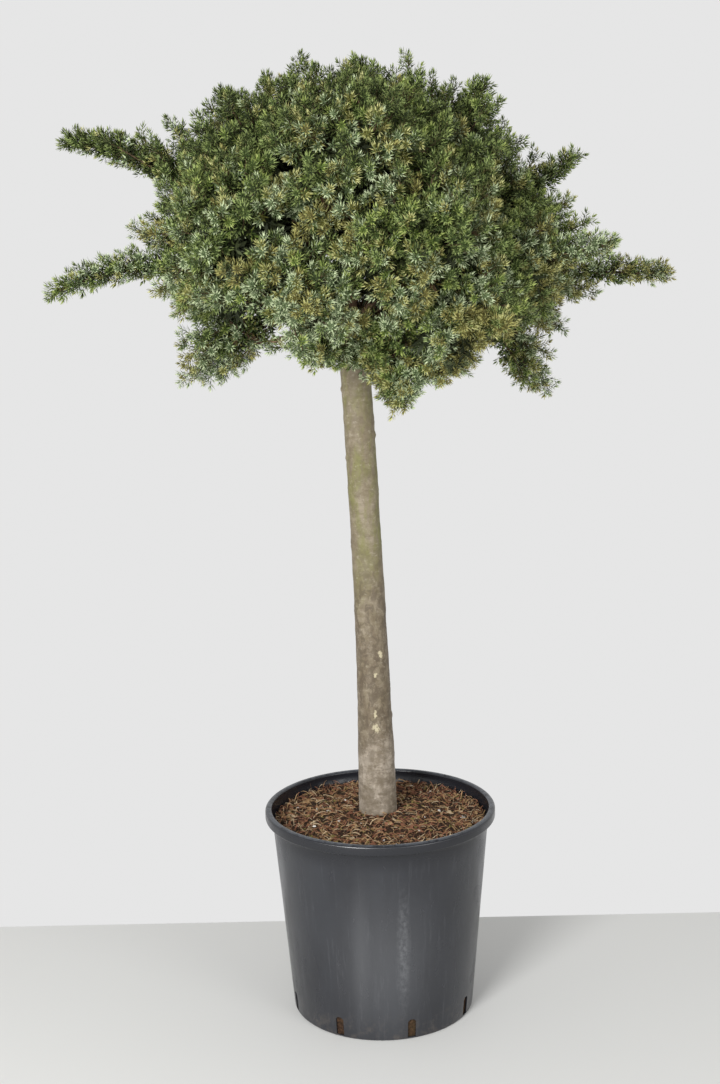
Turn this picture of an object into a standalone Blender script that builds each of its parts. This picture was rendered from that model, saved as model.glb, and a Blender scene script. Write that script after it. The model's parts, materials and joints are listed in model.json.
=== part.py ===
"""A creeping juniper grafted on a bare stem, in its round nursery pot: pot, potting soil, trunk,
boughs and masses of foliage, each its own solid. Metres, +Z up, the origin under the pot's middle,
the front of the plant towards -Y."""

import math
import random

import bmesh
import bpy
from mathutils import Matrix, Vector
from mathutils.bvhtree import BVHTree

# The pot, turned about Z.
POT_HEIGHT = 0.282
RIM_RADIUS = 0.156
RIM_WIDTH = 0.009
RIM_DEPTH = 0.014
BODY_TOP_RADIUS = 0.1465
FOOT_RADIUS = 0.123
FOOT_BEVEL = 0.003
WALL = 0.002
POT_STEPS = 36

# Drain slots through the foot of the wall.
SLOT_COUNT = 8
SLOT_WIDTH = 0.011
SLOT_BOTTOM = 0.003
SLOT_TOP = 0.0285
SLOT_FIRST_DEG = 16.5

# Potting soil: a plug that fills the pot, a little higher round the trunk.
SOIL_EDGE_Z = 0.264
SOIL_MOUND = 0.005
GAP = 0.0003

# The trunk: a bare stem that leans to the left, with a graft knob where the boughs start.
TRUNK_FOOT = Vector((-0.003, 0.012, SOIL_EDGE_Z + SOIL_MOUND + GAP))
KNOB_Z = 0.925
KNOB_RADIUS = 0.026
TRUNK_LEAN = Vector((-0.021, -0.010, 0))
LEAN_POWER = 1.6
TRUNK_TOP_RADIUS = 0.0193
TRUNK_TAPER = 0.0022
ROOT_FLARE = 0.0043
FLARE_HEIGHT = 0.16
TRUNK_RINGS = 10

# Limbs and masses. A limb leaves the knob at its azimuth (0 is the front, 90 the right) and its rise
# in degrees, and bends down by its droop on its way out to its reach. The foliage on it is a dome
# that swells to its body, and only a slim leader runs on from there to the reach. In millimetres.
#   name: azimuth, rise, reach, droop, body
CROWN = {
    "top_middle": (40, 86, 344, 0, 334),
    "top_left": (-78, 62, 336, 6, 326),
    "top_front": (4, 55, 344, 8, 330),
    "top_right": (78, 60, 348, 6, 330),
    "top_back": (-174, 56, 344, 6, 326),
    "left_upper": (-97, 42, 500, 92, 322),
    "front_left": (-42, 30, 338, 16, 320),
    "front_right": (24, 28, 330, 18, 312),
    "right_upper": (92, 37, 362, 10, 314),
    "right_middle": (68, 21, 366, 34, 292),
    "back_right": (138, 30, 312, 16, 296),
    "back_left": (-148, 30, 312, 16, 296),
    "left_lower": (-76, 22, 420, 104, 252),
    "left_inner": (-24, 8, 302, 14, 284),
    "right_inner": (36, 5, 304, 22, 286),
    "right_long": (97, 17, 444, 62, 296),
    "right_back": (142, 7, 296, 18, 276),
    "back": (-168, 5, 268, 10, 254),
    "left_back": (-120, 9, 304, 18, 282),
    "skirt_left": (-94, -6, 236, 34, 226),
    "skirt_front_left": (-54, -11, 222, 6, 216),
    "skirt_front": (8, -16, 206, 34, 186),
    "skirt_front_right": (56, -13, 250, 10, 236),
    "skirt_right": (102, -7, 286, 62, 262),
    "skirt_back_right": (156, -14, 226, 8, 220),
    "skirt_back_left": (-148, -12, 226, 4, 218),
}
BOUGH_BASE_RADIUS = 0.0042
BOUGH_TIP_RADIUS = 0.0032
BOUGH_RINGS = 3
BOUGH_END = 0.105
STEM_TIP_RADIUS = 0.0012
STEM_RINGS = 6
# How fast a dome falls away round its own axis, and the crown's underside, which hangs lower on
# the right by its tilt, below its rise in degrees.
DOME_FALL = 0.42
UNDERSIDE_RISE = -4
UNDERSIDE_TILT = -6
UNDERSIDE_FALL = 5.0

# Sprays of needles, larger than life, and the dense core that they stand out of.
CORE_DEPTH = 0.024
CORE_LUMPS = 0.15
CORE_START = 0.006
SPRAYS = 60
SPRAY_SPREAD = math.radians(46)
SPRAY_LENGTH = 0.064
SPRAY_SUNK = 0.74
SPRAY_SLENDER = 0.24
SPRAY_TILT = 0.35
SPRAY_LIFT = 0.12
TEETH_AT = 0.50
NOTCHES_AT = 0.56
NOTCH_DEPTH = 0.50
LEADER_SPRAY_STEP = 0.0115
GOLDEN_ANGLE = math.radians(137.508)
CLEARANCE = 0.0005
SEED = 11

UP = Vector((0, 0, 1))
MATERIALS = {
    "pot_plastic": ((0.030, 0.033, 0.040), 0.38),
    "soil": ((0.115, 0.058, 0.028), 0.95),
    "bark": ((0.235, 0.195, 0.130), 0.85),
    "bough_bark": ((0.130, 0.080, 0.045), 0.85),
    "foliage": ((0.120, 0.185, 0.085), 0.70),
}


def clear_scene():
    for old in list(bpy.data.objects):
        bpy.data.objects.remove(old)


def new_collection(name):
    made = bpy.data.collections.new(name)
    bpy.context.scene.collection.children.link(made)
    return made


def material(name):
    """The named Principled material, made once."""
    if name in bpy.data.materials:
        return bpy.data.materials[name]
    colour, roughness = MATERIALS[name]
    made = bpy.data.materials.new(name)
    made.use_nodes = True
    shader = made.node_tree.nodes["Principled BSDF"]
    shader.inputs["Base Color"].default_value = (*colour, 1)
    shader.inputs["Roughness"].default_value = roughness
    made.diffuse_color = (*colour, 1)
    return made


def add_object(name, data, collection, look=None):
    made = bpy.data.objects.new(name, data)
    collection.objects.link(made)
    if look:
        made.data.materials.append(material(look))
    return made


def mesh_from(name, build):
    """A mesh that build(bm) fills."""
    bm = bmesh.new()
    build(bm)
    bmesh.ops.recalc_face_normals(bm, faces=bm.faces)
    made = bpy.data.meshes.new(name)
    bm.to_mesh(made)
    bm.free()
    return made


def turned(name, profile, collection, look):
    """A solid of revolution: the profile's (radius, height) points, top to bottom, turned about Z."""

    def build(bm):
        corners = [bm.verts.new((radius, 0, height)) for radius, height in profile]
        for one, two in zip(corners, corners[1:]):
            bm.edges.new((one, two))

    bm = bmesh.new()
    build(bm)
    data = bpy.data.meshes.new(name)
    bm.to_mesh(data)
    bm.free()
    made = add_object(name, data, collection, look)
    screw = made.modifiers.new("turn", "SCREW")
    screw.steps = POT_STEPS
    screw.render_steps = POT_STEPS
    screw.use_merge_vertices = True
    screw.merge_threshold = 0.00005
    return made


def wall_radius(z):
    """The pot's outer radius at the height z."""
    under_rim = POT_HEIGHT - RIM_DEPTH
    return FOOT_RADIUS + (BODY_TOP_RADIUS - FOOT_RADIUS) * min(z, under_rim) / under_rim


def make_pot(nodes, cutters):
    """A thin conical pot with a flat floor, a rolled rim and drain slots at its foot."""
    under_rim = POT_HEIGHT - RIM_DEPTH
    inner_rim = RIM_RADIUS - RIM_WIDTH
    lip = 0.002
    profile = [
        (0, WALL),
        (wall_radius(WALL) - WALL, WALL),
        (wall_radius(under_rim) - WALL, under_rim - lip),
        (inner_rim, under_rim + lip),
        (inner_rim, POT_HEIGHT - lip),
        (inner_rim + lip, POT_HEIGHT),
        (RIM_RADIUS - lip, POT_HEIGHT),
        (RIM_RADIUS, POT_HEIGHT - lip),
        (RIM_RADIUS, under_rim + lip),
        (RIM_RADIUS - lip, under_rim),
        (wall_radius(under_rim), under_rim - lip),
        (wall_radius(FOOT_BEVEL), FOOT_BEVEL),
        (FOOT_RADIUS - FOOT_BEVEL, 0),
        (0, 0),
    ]
    pot = turned("pot", profile, nodes, "pot_plastic")
    for number in range(SLOT_COUNT):
        angle = math.radians(SLOT_FIRST_DEG + number * 360 / SLOT_COUNT)
        outward = Vector((math.sin(angle), -math.cos(angle), 0))
        cutter = add_object(f"slot_{number}", slot_mesh(), cutters)
        cutter.hide_render = True
        cutter.display_type = "WIRE"
        cutter.location = outward * FOOT_RADIUS + UP * (SLOT_BOTTOM + SLOT_TOP) / 2
        cutter.rotation_euler.z = angle
    cut = pot.modifiers.new("slots", "BOOLEAN")
    cut.operation = "DIFFERENCE"
    cut.operand_type = "COLLECTION"
    cut.collection = cutters
    return pot


def slot_mesh():
    """A block through the wall, as wide and high as a drain slot."""
    depth = 0.016

    def build(bm):
        bmesh.ops.create_cube(bm, size=1)
        bmesh.ops.scale(bm, vec=(SLOT_WIDTH, depth, SLOT_TOP - SLOT_BOTTOM), verts=bm.verts)

    return mesh_from("slot", build)


def make_soil(nodes):
    """The plug of soil, 0.3 mm clear of the pot, rising from its edge to the trunk."""
    top_radius = wall_radius(SOIL_EDGE_Z) - WALL - 2 * GAP
    foot_z = WALL + GAP
    profile = [
        (0, SOIL_EDGE_Z + SOIL_MOUND),
        (0.055, SOIL_EDGE_Z + SOIL_MOUND),
        (0.105, SOIL_EDGE_Z + SOIL_MOUND * 0.45),
        (top_radius, SOIL_EDGE_Z),
        (wall_radius(foot_z) - WALL - 2 * GAP, foot_z),
        (0, foot_z),
    ]
    return turned("soil", profile, nodes, "soil")


def tube_mesh(name, points, radii, resolution):
    """A closed tube through the points, of the radius given at each, as one welded mesh."""
    curve = bpy.data.curves.new(name, "CURVE")
    curve.dimensions = "3D"
    curve.bevel_depth = 1
    curve.bevel_resolution = resolution
    curve.use_fill_caps = True
    spline = curve.splines.new("POLY")
    spline.points.add(len(points) - 1)
    for place, point, radius in zip(spline.points, points, radii):
        place.co = (*point, 1)
        place.radius = radius
    guide = bpy.data.objects.new(name, curve)
    bpy.context.scene.collection.objects.link(guide)
    bpy.context.view_layer.update()
    graph = bpy.context.evaluated_depsgraph_get()
    made = bpy.data.meshes.new_from_object(guide.evaluated_get(graph))
    bpy.data.objects.remove(guide)
    bpy.data.curves.remove(curve)
    bm = bmesh.new()
    bm.from_mesh(made)
    bmesh.ops.remove_doubles(bm, verts=bm.verts, dist=0.00001)
    bmesh.ops.recalc_face_normals(bm, faces=bm.faces)
    bm.to_mesh(made)
    bm.free()
    return made


def trunk_point(z):
    """The middle of the trunk at the height z: upright at its foot, leaning more with height."""
    share = max(0, z - TRUNK_FOOT.z) / (KNOB_Z - TRUNK_FOOT.z)
    return Vector((*TRUNK_FOOT.xy, z)) + TRUNK_LEAN * share**LEAN_POWER


def trunk_radius(z):
    """An even taper, a root flare at the foot and the graft knob at the top."""
    share = (z - TRUNK_FOOT.z) / (KNOB_Z - TRUNK_FOOT.z)
    stem = TRUNK_TOP_RADIUS + TRUNK_TAPER * (1 - share)
    stem += ROOT_FLARE * math.exp(-(((z - TRUNK_FOOT.z) / FLARE_HEIGHT) ** 2))
    if abs(z - KNOB_Z) >= KNOB_RADIUS:
        return stem
    ball = math.sqrt(KNOB_RADIUS**2 - (z - KNOB_Z) ** 2)
    return max(ball, stem) if z < KNOB_Z else ball


def make_trunk(nodes):
    neck_z = KNOB_Z - 1.15 * KNOB_RADIUS
    step = (neck_z - TRUNK_FOOT.z) / TRUNK_RINGS
    heights = [TRUNK_FOOT.z + step * number for number in range(TRUNK_RINGS + 1)]
    heights += [KNOB_Z + KNOB_RADIUS * share for share in (-0.6, -0.2, 0.2, 0.55, 0.82, 0.96)]
    points = [trunk_point(z) for z in heights]
    radii = [trunk_radius(z) for z in heights]
    data = tube_mesh("trunk", points, radii, resolution=4)
    return add_object("trunk", data, nodes, "bark")


def direction(azimuth, rise):
    """The unit vector at the azimuth and rise, in degrees."""
    turn = math.radians(azimuth)
    lift = math.radians(rise)
    level = math.cos(lift)
    return Vector((math.sin(turn) * level, -math.cos(turn) * level, math.sin(lift)))


class Limb:
    """One bough with the mass of foliage that it carries, seen from the middle of the graft knob."""

    def __init__(self, name, azimuth, rise, reach, droop, body):
        self.name = name
        self.aim = direction(azimuth, rise)
        self.reach = reach / 1000
        self.droop = droop / 1000
        self.body = body / 1000
        self.hub = trunk_point(KNOB_Z)
        self.middle = self.point(0.5 * self.share_at(BOUGH_END + self.body))
        self.axis = (self.middle - self.hub).normalized()
        self.fork = self.point(self.share_at(BOUGH_END))
        self.leaves_fork = self.heading(self.share_at(BOUGH_END))

    def point(self, share):
        """The limb's middle at this share of its reach."""
        return self.hub + self.aim * self.reach * share - UP * self.droop * share**2.5

    def heading(self, share):
        return (self.point(share + 0.01) - self.point(share - 0.01)).normalized()

    def share_at(self, distance):
        """The share of the reach at which the limb is this far from the knob's middle."""
        return distance / self.reach

    def dome(self, place):
        """How far from the knob's middle the foliage ends, towards the place."""
        toward = (place - self.hub).normalized()
        fall = 1 - DOME_FALL * toward.angle(self.axis) ** 2
        below = math.radians(UNDERSIDE_RISE + UNDERSIDE_TILT * toward.x) - math.asin(toward.z)
        return self.body * fall * (1 - UNDERSIDE_FALL * max(0, below) ** 2)

    def past_fork(self, place):
        """How far the place lies beyond the end of the bare bough."""
        return (place - self.fork).dot(self.leaves_fork)

    def turned_from(self, ahead, lean, turn):
        """The unit vector that leans away from ahead, turned about it."""
        side = ahead.cross(UP if abs(ahead.z) < 0.95 else Vector((0, 1, 0))).normalized()
        across = Matrix.Rotation(turn, 3, ahead) @ side
        return ahead * math.cos(lean) + across * math.sin(lean)


def own_space(place, limb, limbs):
    """True if the place is on this limb's side of the plane between it and each other limb, and
    beyond its bough. The planes pass through the middle of the knob, so the space is a cone."""
    if limb.past_fork(place) < 2 * GAP:
        return False
    away = place - limb.hub
    for other in limbs:
        if other is limb:
            continue
        between = (limb.axis - other.axis).normalized()
        if away.dot(between) < CLEARANCE:
            return False
    return True


def core_space(place, limb, limbs):
    inside = (place - limb.hub).length < limb.dome(place) - CORE_DEPTH
    return inside and limb.past_fork(place) > CORE_START and own_space(place, limb, limbs)


def seat(limb, trunk_surface):
    """How far from the knob's middle the bough's foot is, for it to lie just clear of the knob."""
    sunk, clear = KNOB_RADIUS * 0.8, KNOB_RADIUS * 1.2
    for _ in range(16):
        distance = (sunk + clear) / 2
        share = limb.share_at(distance)
        foot = [limb.point(share)]
        for corner in range(12):
            rim = limb.turned_from(limb.heading(share), math.pi / 2, corner * math.tau / 12)
            foot += [limb.point(share) + rim * BOUGH_BASE_RADIUS * part for part in (0.5, 1)]
        if all(height_off(place, trunk_surface) > 1.4 * GAP for place in foot):
            clear = distance
        else:
            sunk = distance
    return clear


def height_off(place, surface):
    """How far the place lies outside the surface, negative within it."""
    near, normal, _, away = surface.find_nearest(place)
    return away if (place - near).dot(normal) > 0 else -away


def make_bough(limb, trunk_surface, nodes):
    """The bare part of the limb, from its seat on the knob to where it enters its foliage."""
    first = limb.share_at(seat(limb, trunk_surface))
    last = limb.share_at(BOUGH_END)
    shares = [first + (last - first) * n / (BOUGH_RINGS - 1) for n in range(BOUGH_RINGS)]
    slimming = (BOUGH_TIP_RADIUS - BOUGH_BASE_RADIUS) / (BOUGH_RINGS - 1)
    radii = [BOUGH_BASE_RADIUS + slimming * n for n in range(BOUGH_RINGS)]
    data = tube_mesh(limb.name, [limb.point(share) for share in shares], radii, resolution=1)
    return add_object(f"bough_{limb.name}", data, nodes, "bough_bark")


def stem_mesh(limb):
    """The stem that carries on from the bough's tip through the mass to the leader's tip."""
    first = limb.share_at(BOUGH_END + GAP)
    shares = [first + (0.985 - first) * n / (STEM_RINGS - 1) for n in range(STEM_RINGS)]
    slimming = (STEM_TIP_RADIUS - BOUGH_TIP_RADIUS) / (STEM_RINGS - 1)
    radii = [BOUGH_TIP_RADIUS + slimming * n for n in range(STEM_RINGS)]
    return tube_mesh("stem", [limb.point(share) for share in shares], radii, resolution=0)


def core_mesh(limb, limbs, chance):
    """The dense core: a ball whose points each run out to the edge of the limb's own space."""

    def build(bm):
        bmesh.ops.create_icosphere(bm, subdivisions=2, radius=1)
        for vertex in bm.verts:
            outward = vertex.co.normalized()
            near, far = 0, 0.5
            for _ in range(12):
                half = (near + far) / 2
                if core_space(limb.middle + outward * half, limb, limbs):
                    near = half
                else:
                    far = half
            lump = 1 - CORE_LUMPS * chance.random()
            edge = limb.middle + outward * near
            free = own_space(edge + outward * GAP * 10, limb, limbs)
            vertex.co = limb.middle.lerp(edge, lump if free else 1 - GAP)

    return mesh_from("core", build)


def spray_mesh(root, ahead, length, turn):
    """A spray of needles: a spindle with three teeth round it that point forward and out."""
    side = ahead.cross(UP if abs(ahead.z) < 0.95 else Vector((0, 1, 0))).normalized()
    half_turn = math.pi / 3
    rings = ((TEETH_AT, 1, 0), (NOTCHES_AT, NOTCH_DEPTH, half_turn))

    def build(bm):
        below = [bm.verts.new(root)] * 3
        for along, wide, twist in rings:
            ring = []
            for corner in range(3):
                angle = turn + twist + corner * 2 * half_turn
                across = Matrix.Rotation(angle, 3, ahead) @ side
                out = across * wide * SPRAY_SLENDER
                ring.append(bm.verts.new(root + (ahead * along + out) * length))
            join_rings(bm, below, ring, twist)
            below = ring
        tip = bm.verts.new(root + ahead * length)
        for corner in range(3):
            bm.faces.new((below[corner], below[(corner + 1) % 3], tip))

    return mesh_from("spray", build)


def join_rings(bm, below, ring, twist):
    """Faces between two rings of three corners, the second half a step on from the first."""
    for corner in range(3):
        following = (corner + 1) % 3
        if below[0] is below[1]:
            bm.faces.new((below[0], ring[following], ring[corner]))
            continue
        early, late = (ring, below) if twist else (below, ring)
        bm.faces.new((late[corner], late[following], early[corner]))
        bm.faces.new((early[corner], late[following], early[following]))


def sprays_of(limb, chance):
    """(root, ahead, length) of each spray. Those of the body face out through the dome in the
    spiral of a sunflower, and those of the leader leave it in a spiral as it grows."""
    for number in range(SPRAYS):
        lean = SPRAY_SPREAD * math.sqrt((number + 0.5) / SPRAYS)
        turn = number * GOLDEN_ANGLE + chance.uniform(-0.2, 0.2)
        toward = limb.turned_from(limb.axis, lean, turn)
        edge = limb.hub + toward * limb.dome(limb.hub + toward)
        start = limb.hub.lerp(limb.middle, 1.15 - 0.5 * lean / SPRAY_SPREAD)
        outward = (edge - start).normalized()
        length = SPRAY_LENGTH * chance.uniform(0.85, 1.15)
        aside = limb.turned_from(outward, math.pi / 2, chance.uniform(0, math.tau))
        ahead = (outward + aside * SPRAY_TILT + UP * SPRAY_LIFT).normalized()
        yield edge - outward * length * SPRAY_SUNK, ahead, length
    first = limb.share_at(limb.body - CORE_DEPTH)
    count = math.ceil((1 - first) * limb.reach / LEADER_SPRAY_STEP)
    for number in range(count):
        share = first + (0.97 - first) * number / count
        lean = math.radians(56 - 26 * number / count)
        ahead = limb.turned_from(limb.heading(share), lean, number * GOLDEN_ANGLE)
        length = SPRAY_LENGTH * (0.92 - 0.50 * number / count) * chance.uniform(0.9, 1.1)
        yield limb.point(share), ahead, length
    yield limb.point(0.93), limb.heading(0.97), 0.07 * limb.reach + 0.004


def spray_fits(mesh, limb, limbs):
    """True if every point of the spray keeps to the limb's own space."""
    return all(own_space(vertex.co, limb, limbs) for vertex in mesh.vertices)


def keep_main_body(data):
    """Drops every loose scrap and sealed hollow, so that one closed body is left."""
    bm = bmesh.new()
    bm.from_mesh(data)
    unseen = set(bm.faces)
    bodies = []
    while unseen:
        body = set()
        edge_of_body = [unseen.pop()]
        while edge_of_body:
            face = edge_of_body.pop()
            body.add(face)
            beside = {other for edge in face.edges for other in edge.link_faces} & unseen
            unseen -= beside
            edge_of_body += beside
        bodies.append(body)
    main_body = max(bodies, key=len)
    for body in bodies:
        if body is not main_body:
            bmesh.ops.delete(bm, geom=list(body), context="FACES")
    bm.to_mesh(data)
    bm.free()


def make_mass(limb, limbs, nodes, chance):
    """One mass: stem, core and sprays, joined by one Boolean union into one closed solid."""
    pieces = new_collection(f"pieces_{limb.name}")
    add_object("core_piece", core_mesh(limb, limbs, chance), pieces)
    for root, ahead, length in sprays_of(limb, chance):
        turn = chance.uniform(0, math.tau)
        for shorter in (1, 0.86):
            spray = spray_mesh(root, ahead, length * shorter, turn)
            if spray_fits(spray, limb, limbs):
                add_object("spray_piece", spray, pieces)
                break
            bpy.data.meshes.remove(spray)
    mass = add_object(f"foliage_{limb.name}", stem_mesh(limb), nodes, "foliage")
    join = mass.modifiers.new("join", "BOOLEAN")
    join.operation = "UNION"
    join.operand_type = "COLLECTION"
    join.collection = pieces
    join.solver = "MANIFOLD"
    graph = bpy.context.evaluated_depsgraph_get()
    joined = bpy.data.meshes.new_from_object(mass.evaluated_get(graph))
    mass.modifiers.clear()
    keep_main_body(joined)
    mass.data = joined
    for piece in list(pieces.objects):
        bpy.data.objects.remove(piece)
    bpy.data.collections.remove(pieces)
    return mass


def main():
    clear_scene()
    nodes = new_collection("juniper_standard_in_pot")
    cutters = new_collection("cutters")
    make_pot(nodes, cutters)
    make_soil(nodes)
    trunk = make_trunk(nodes)
    corners = [vertex.co for vertex in trunk.data.vertices]
    trunk_surface = BVHTree.FromPolygons(corners, [face.vertices for face in trunk.data.polygons])
    limbs = [Limb(name, *sizes) for name, sizes in CROWN.items()]
    for number, limb in enumerate(limbs):
        make_bough(limb, trunk_surface, nodes)
        make_mass(limb, limbs, nodes, random.Random(SEED + number))


main()
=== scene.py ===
import json
import math

import bpy
import numpy as np
from mathutils import Matrix, Vector, noise

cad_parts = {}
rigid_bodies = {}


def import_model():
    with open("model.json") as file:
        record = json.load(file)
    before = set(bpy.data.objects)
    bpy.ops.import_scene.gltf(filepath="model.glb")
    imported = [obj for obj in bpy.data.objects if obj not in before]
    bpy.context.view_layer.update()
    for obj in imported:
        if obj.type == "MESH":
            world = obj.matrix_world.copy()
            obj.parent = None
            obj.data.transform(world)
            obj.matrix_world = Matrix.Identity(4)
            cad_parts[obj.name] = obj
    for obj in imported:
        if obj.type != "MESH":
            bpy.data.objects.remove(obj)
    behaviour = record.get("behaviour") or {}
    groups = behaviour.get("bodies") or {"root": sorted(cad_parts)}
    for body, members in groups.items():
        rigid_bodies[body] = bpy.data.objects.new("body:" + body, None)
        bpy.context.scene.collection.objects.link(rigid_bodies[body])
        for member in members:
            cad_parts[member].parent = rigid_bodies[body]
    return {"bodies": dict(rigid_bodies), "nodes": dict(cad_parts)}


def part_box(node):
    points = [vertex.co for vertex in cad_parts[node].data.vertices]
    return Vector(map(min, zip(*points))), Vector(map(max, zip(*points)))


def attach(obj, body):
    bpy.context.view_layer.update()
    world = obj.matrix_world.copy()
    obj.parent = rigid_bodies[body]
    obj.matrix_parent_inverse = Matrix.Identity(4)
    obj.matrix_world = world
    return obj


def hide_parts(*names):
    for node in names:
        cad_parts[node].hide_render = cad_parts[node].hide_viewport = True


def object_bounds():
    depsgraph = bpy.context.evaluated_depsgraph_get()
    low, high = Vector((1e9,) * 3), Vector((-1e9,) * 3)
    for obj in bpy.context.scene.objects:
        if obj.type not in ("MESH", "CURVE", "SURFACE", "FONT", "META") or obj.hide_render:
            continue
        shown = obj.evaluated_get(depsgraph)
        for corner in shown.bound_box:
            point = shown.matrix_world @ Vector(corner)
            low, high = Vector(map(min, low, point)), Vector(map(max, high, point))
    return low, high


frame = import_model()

# The looks of a creeping juniper grafted on a bare stem, in its nursery pot. Metres, +Z up, the
# front of the plant towards -Y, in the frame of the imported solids. The crown grows by the rule of
# the part's source: limbs leave the graft knob, and each carries a dome of foliage. Here the limbs
# branch on into shoots, branchlets and single needles.

framed = set(frame["nodes"].values()) | set(frame["bodies"].values())
for left_over in set(bpy.data.objects) - framed:
    bpy.data.objects.remove(left_over)
cad_lo, cad_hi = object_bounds()
pot_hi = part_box("pot")[1]
soil_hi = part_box("soil")[1]
trunk_lo, trunk_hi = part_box("trunk")
MM = 0.001
UP = np.array((0.0, 0.0, 1.0))
BACK = np.array((0.0, 1.0, 0.0))
GOLDEN_ANGLE = math.radians(137.508)
SEED = 11

# The source's pot, soil and trunk.
POT_HEIGHT = pot_hi.z
RIM_RADIUS = pot_hi.x
RIM_WIDTH = 0.009
RIM_DEPTH = 0.014
BODY_TOP_RADIUS = 0.1465
FOOT_RADIUS = 0.123
WALL = 0.002
POT_WAVES = 0.00035
SLOT_COUNT = 8
SLOT_WIDTH = 0.011
SLOT_BOTTOM = 0.003
SLOT_TOP = 0.0285
SLOT_FIRST_DEG = 16.5
SOIL_EDGE_Z = soil_hi.z - 0.005
TRUNK_FOOT = np.array((-0.003, 0.012, trunk_lo.z))
KNOB_RADIUS = 0.026
KNOB_CUT = 0.96
KNOB_Z = trunk_hi.z - KNOB_CUT * KNOB_RADIUS
TRUNK_LEAN = np.array((-0.021, -0.010, 0.0))
LEAN_POWER = 1.6
TRUNK_TOP_RADIUS = 0.0193
TRUNK_TAPER = 0.0022
ROOT_FLARE = 0.0043
FLARE_HEIGHT = 0.16
TRUNK_SUNK = 0.004

# The source's limbs: azimuth (0 is the front, 90 the right), rise, reach, droop, body. In degrees
# and millimetres.
CROWN = {
    "top_middle": (40, 86, 344, 0, 334),
    "top_left": (-78, 62, 336, 6, 326),
    "top_front": (4, 55, 344, 8, 330),
    "top_right": (78, 60, 348, 6, 330),
    "top_back": (-174, 56, 344, 6, 326),
    "left_upper": (-97, 46, 535, 142, 322),
    "front_left": (-42, 30, 338, 16, 320),
    "front_right": (24, 28, 330, 18, 312),
    "right_upper": (92, 37, 362, 10, 314),
    "right_middle": (68, 21, 366, 34, 292),
    "back_right": (138, 30, 312, 16, 296),
    "back_left": (-148, 30, 312, 16, 296),
    "left_lower": (-76, 28, 434, 156, 252),
    "left_inner": (-24, 8, 302, 14, 284),
    "right_inner": (36, 5, 304, 22, 286),
    "right_long": (97, 17, 444, 72, 296),
    "right_back": (142, 7, 296, 18, 276),
    "back": (-168, 5, 268, 10, 254),
    "left_back": (-120, 9, 304, 18, 282),
    "skirt_left": (-94, -6, 236, 34, 226),
    "skirt_front_left": (-54, -11, 222, 6, 216),
    "skirt_front": (17, -16, 206, 34, 186),
    "skirt_front_right": (56, -13, 250, 10, 236),
    "skirt_right": (102, -7, 286, 62, 262),
    "skirt_back_right": (156, -14, 226, 8, 220),
    "skirt_back_left": (-148, -12, 226, 4, 218),
}
# Masses whose needles are joined into one piece.
PARTS_OF_CROWN = {
    "top": ("top_middle", "top_front", "top_right"),
    "top_behind": ("top_left", "top_back"),
    "left": ("left_upper", "left_lower", "left_inner", "left_back", "skirt_left"),
    "front": ("front_left", "front_right", "skirt_front_left", "skirt_front", "skirt_front_right"),
    "right": ("right_upper", "right_middle", "right_inner", "right_long", "skirt_right"),
    "back": (
        "back_right", "back_left", "right_back", "back", "skirt_back_right", "skirt_back_left",
    ),
}
# A limb is a bare bough as far as BOUGH_END, thickest in the knob, and then a leafy stem.
BOUGH_END = 0.105
BOUGH_BASE_RADIUS = 0.0042
BOUGH_SWELLS = (1.9, 1.5, 1)
BOUGH_TIP_RADIUS = 0.0032
STEM_TIP_RADIUS = 0.0012
# Its dome of foliage falls away from its axis, and more steeply below.
DOME_FALL = 0.42
UNDERSIDE_RISE = -4
UNDERSIDE_TILT = -6
UNDERSIDE_FALL = 5.0
# Its core lies this deep in the dome, and its shoots stand within this angle of its axis and end
# this far beyond the bough.
CORE_DEPTH = 0.024
SHOOT_SPREAD = math.radians(46)
FORK_CLEAR = 0.02

# Finer growth. Shoots end on the dome, less what their last needles reach beyond it, and a little
# out or in by chance, in plumes that lift near the top and hang near the bottom.
SHOOTS = 186
SHOOT_RADIUS = 0.0014
SHOOT_SHORT = 0.013
SHOOT_OUT = (-0.022, 0.016)
SHOOT_TILT = 0.30
LIFT_AT_TOP = 0.25
LIFT_AT_BOTTOM = -0.55
SHOOT_POINTS = 7
CURVE_PULL = 0.35
PLUME_LENGTH = 0.064
# Long shoots end short of their reach too. Those with less reach than SPRAY_SLENDER have a shorter
# shoot on either side: how far aside and behind.
SPRAY_SHORT = 0.007
SPRAY_LENGTH = 0.10
SPRAY_SLENDER = 0.36
SPRAY_ASIDE = 0.016
SPRAY_BEHIND = 0.022
# The branchlet at a shoot's end: how far behind the end it starts, and its length.
END_BRANCHLET = (0.006, 0.013)
# The branchlets beside it: how far the first is behind the end, then how far apart they are, how
# far they lean out and how long they are, there and from PLUME_FULL_AT on.
FIRST_SIDE = 0.0045
PLUME_FULL_AT = 0.030
SIDE_STEPS = (0.0032, 0.0058)
SIDE_LEANS = (32, 60)
SIDE_SHORTEST = 0.0125
SIDE_LONGEST = 0.020
SIDE_LIFT = 0.08
# How many directions are looked into for gaps, and how far the next branchlet may be from each.
FILL_DIRECTIONS = 3600
GAP_ANGLE = math.radians(2.3)
# The lengths that branchlets are modelled in. Deeper than this, they bear fewer, wider needles.
BRANCHLET_LENGTHS = (0.010, 0.015, 0.020)
SPARSE_FROM = 0.036
SPARSE_WIDTH = 0.0027
# Whorls of needles stand close together on the last part of a branchlet, its rosette, and lean out
# less and less towards its tip: their steps and leans before the rosette and in it.
FIRST_WHORL = 0.0022
ROSETTE = 0.0075
WHORL_STEPS = (0.0026, 0.00135)
WHORL_LEANS = (66, 84, 42)
WHORL_TWIST = math.radians(80)
NEEDLE_LENGTH = 0.0092
NEEDLE_WIDTH = 0.0017
NEEDLE_BEND = 0.06
WIDEST_AT = 0.40
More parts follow.
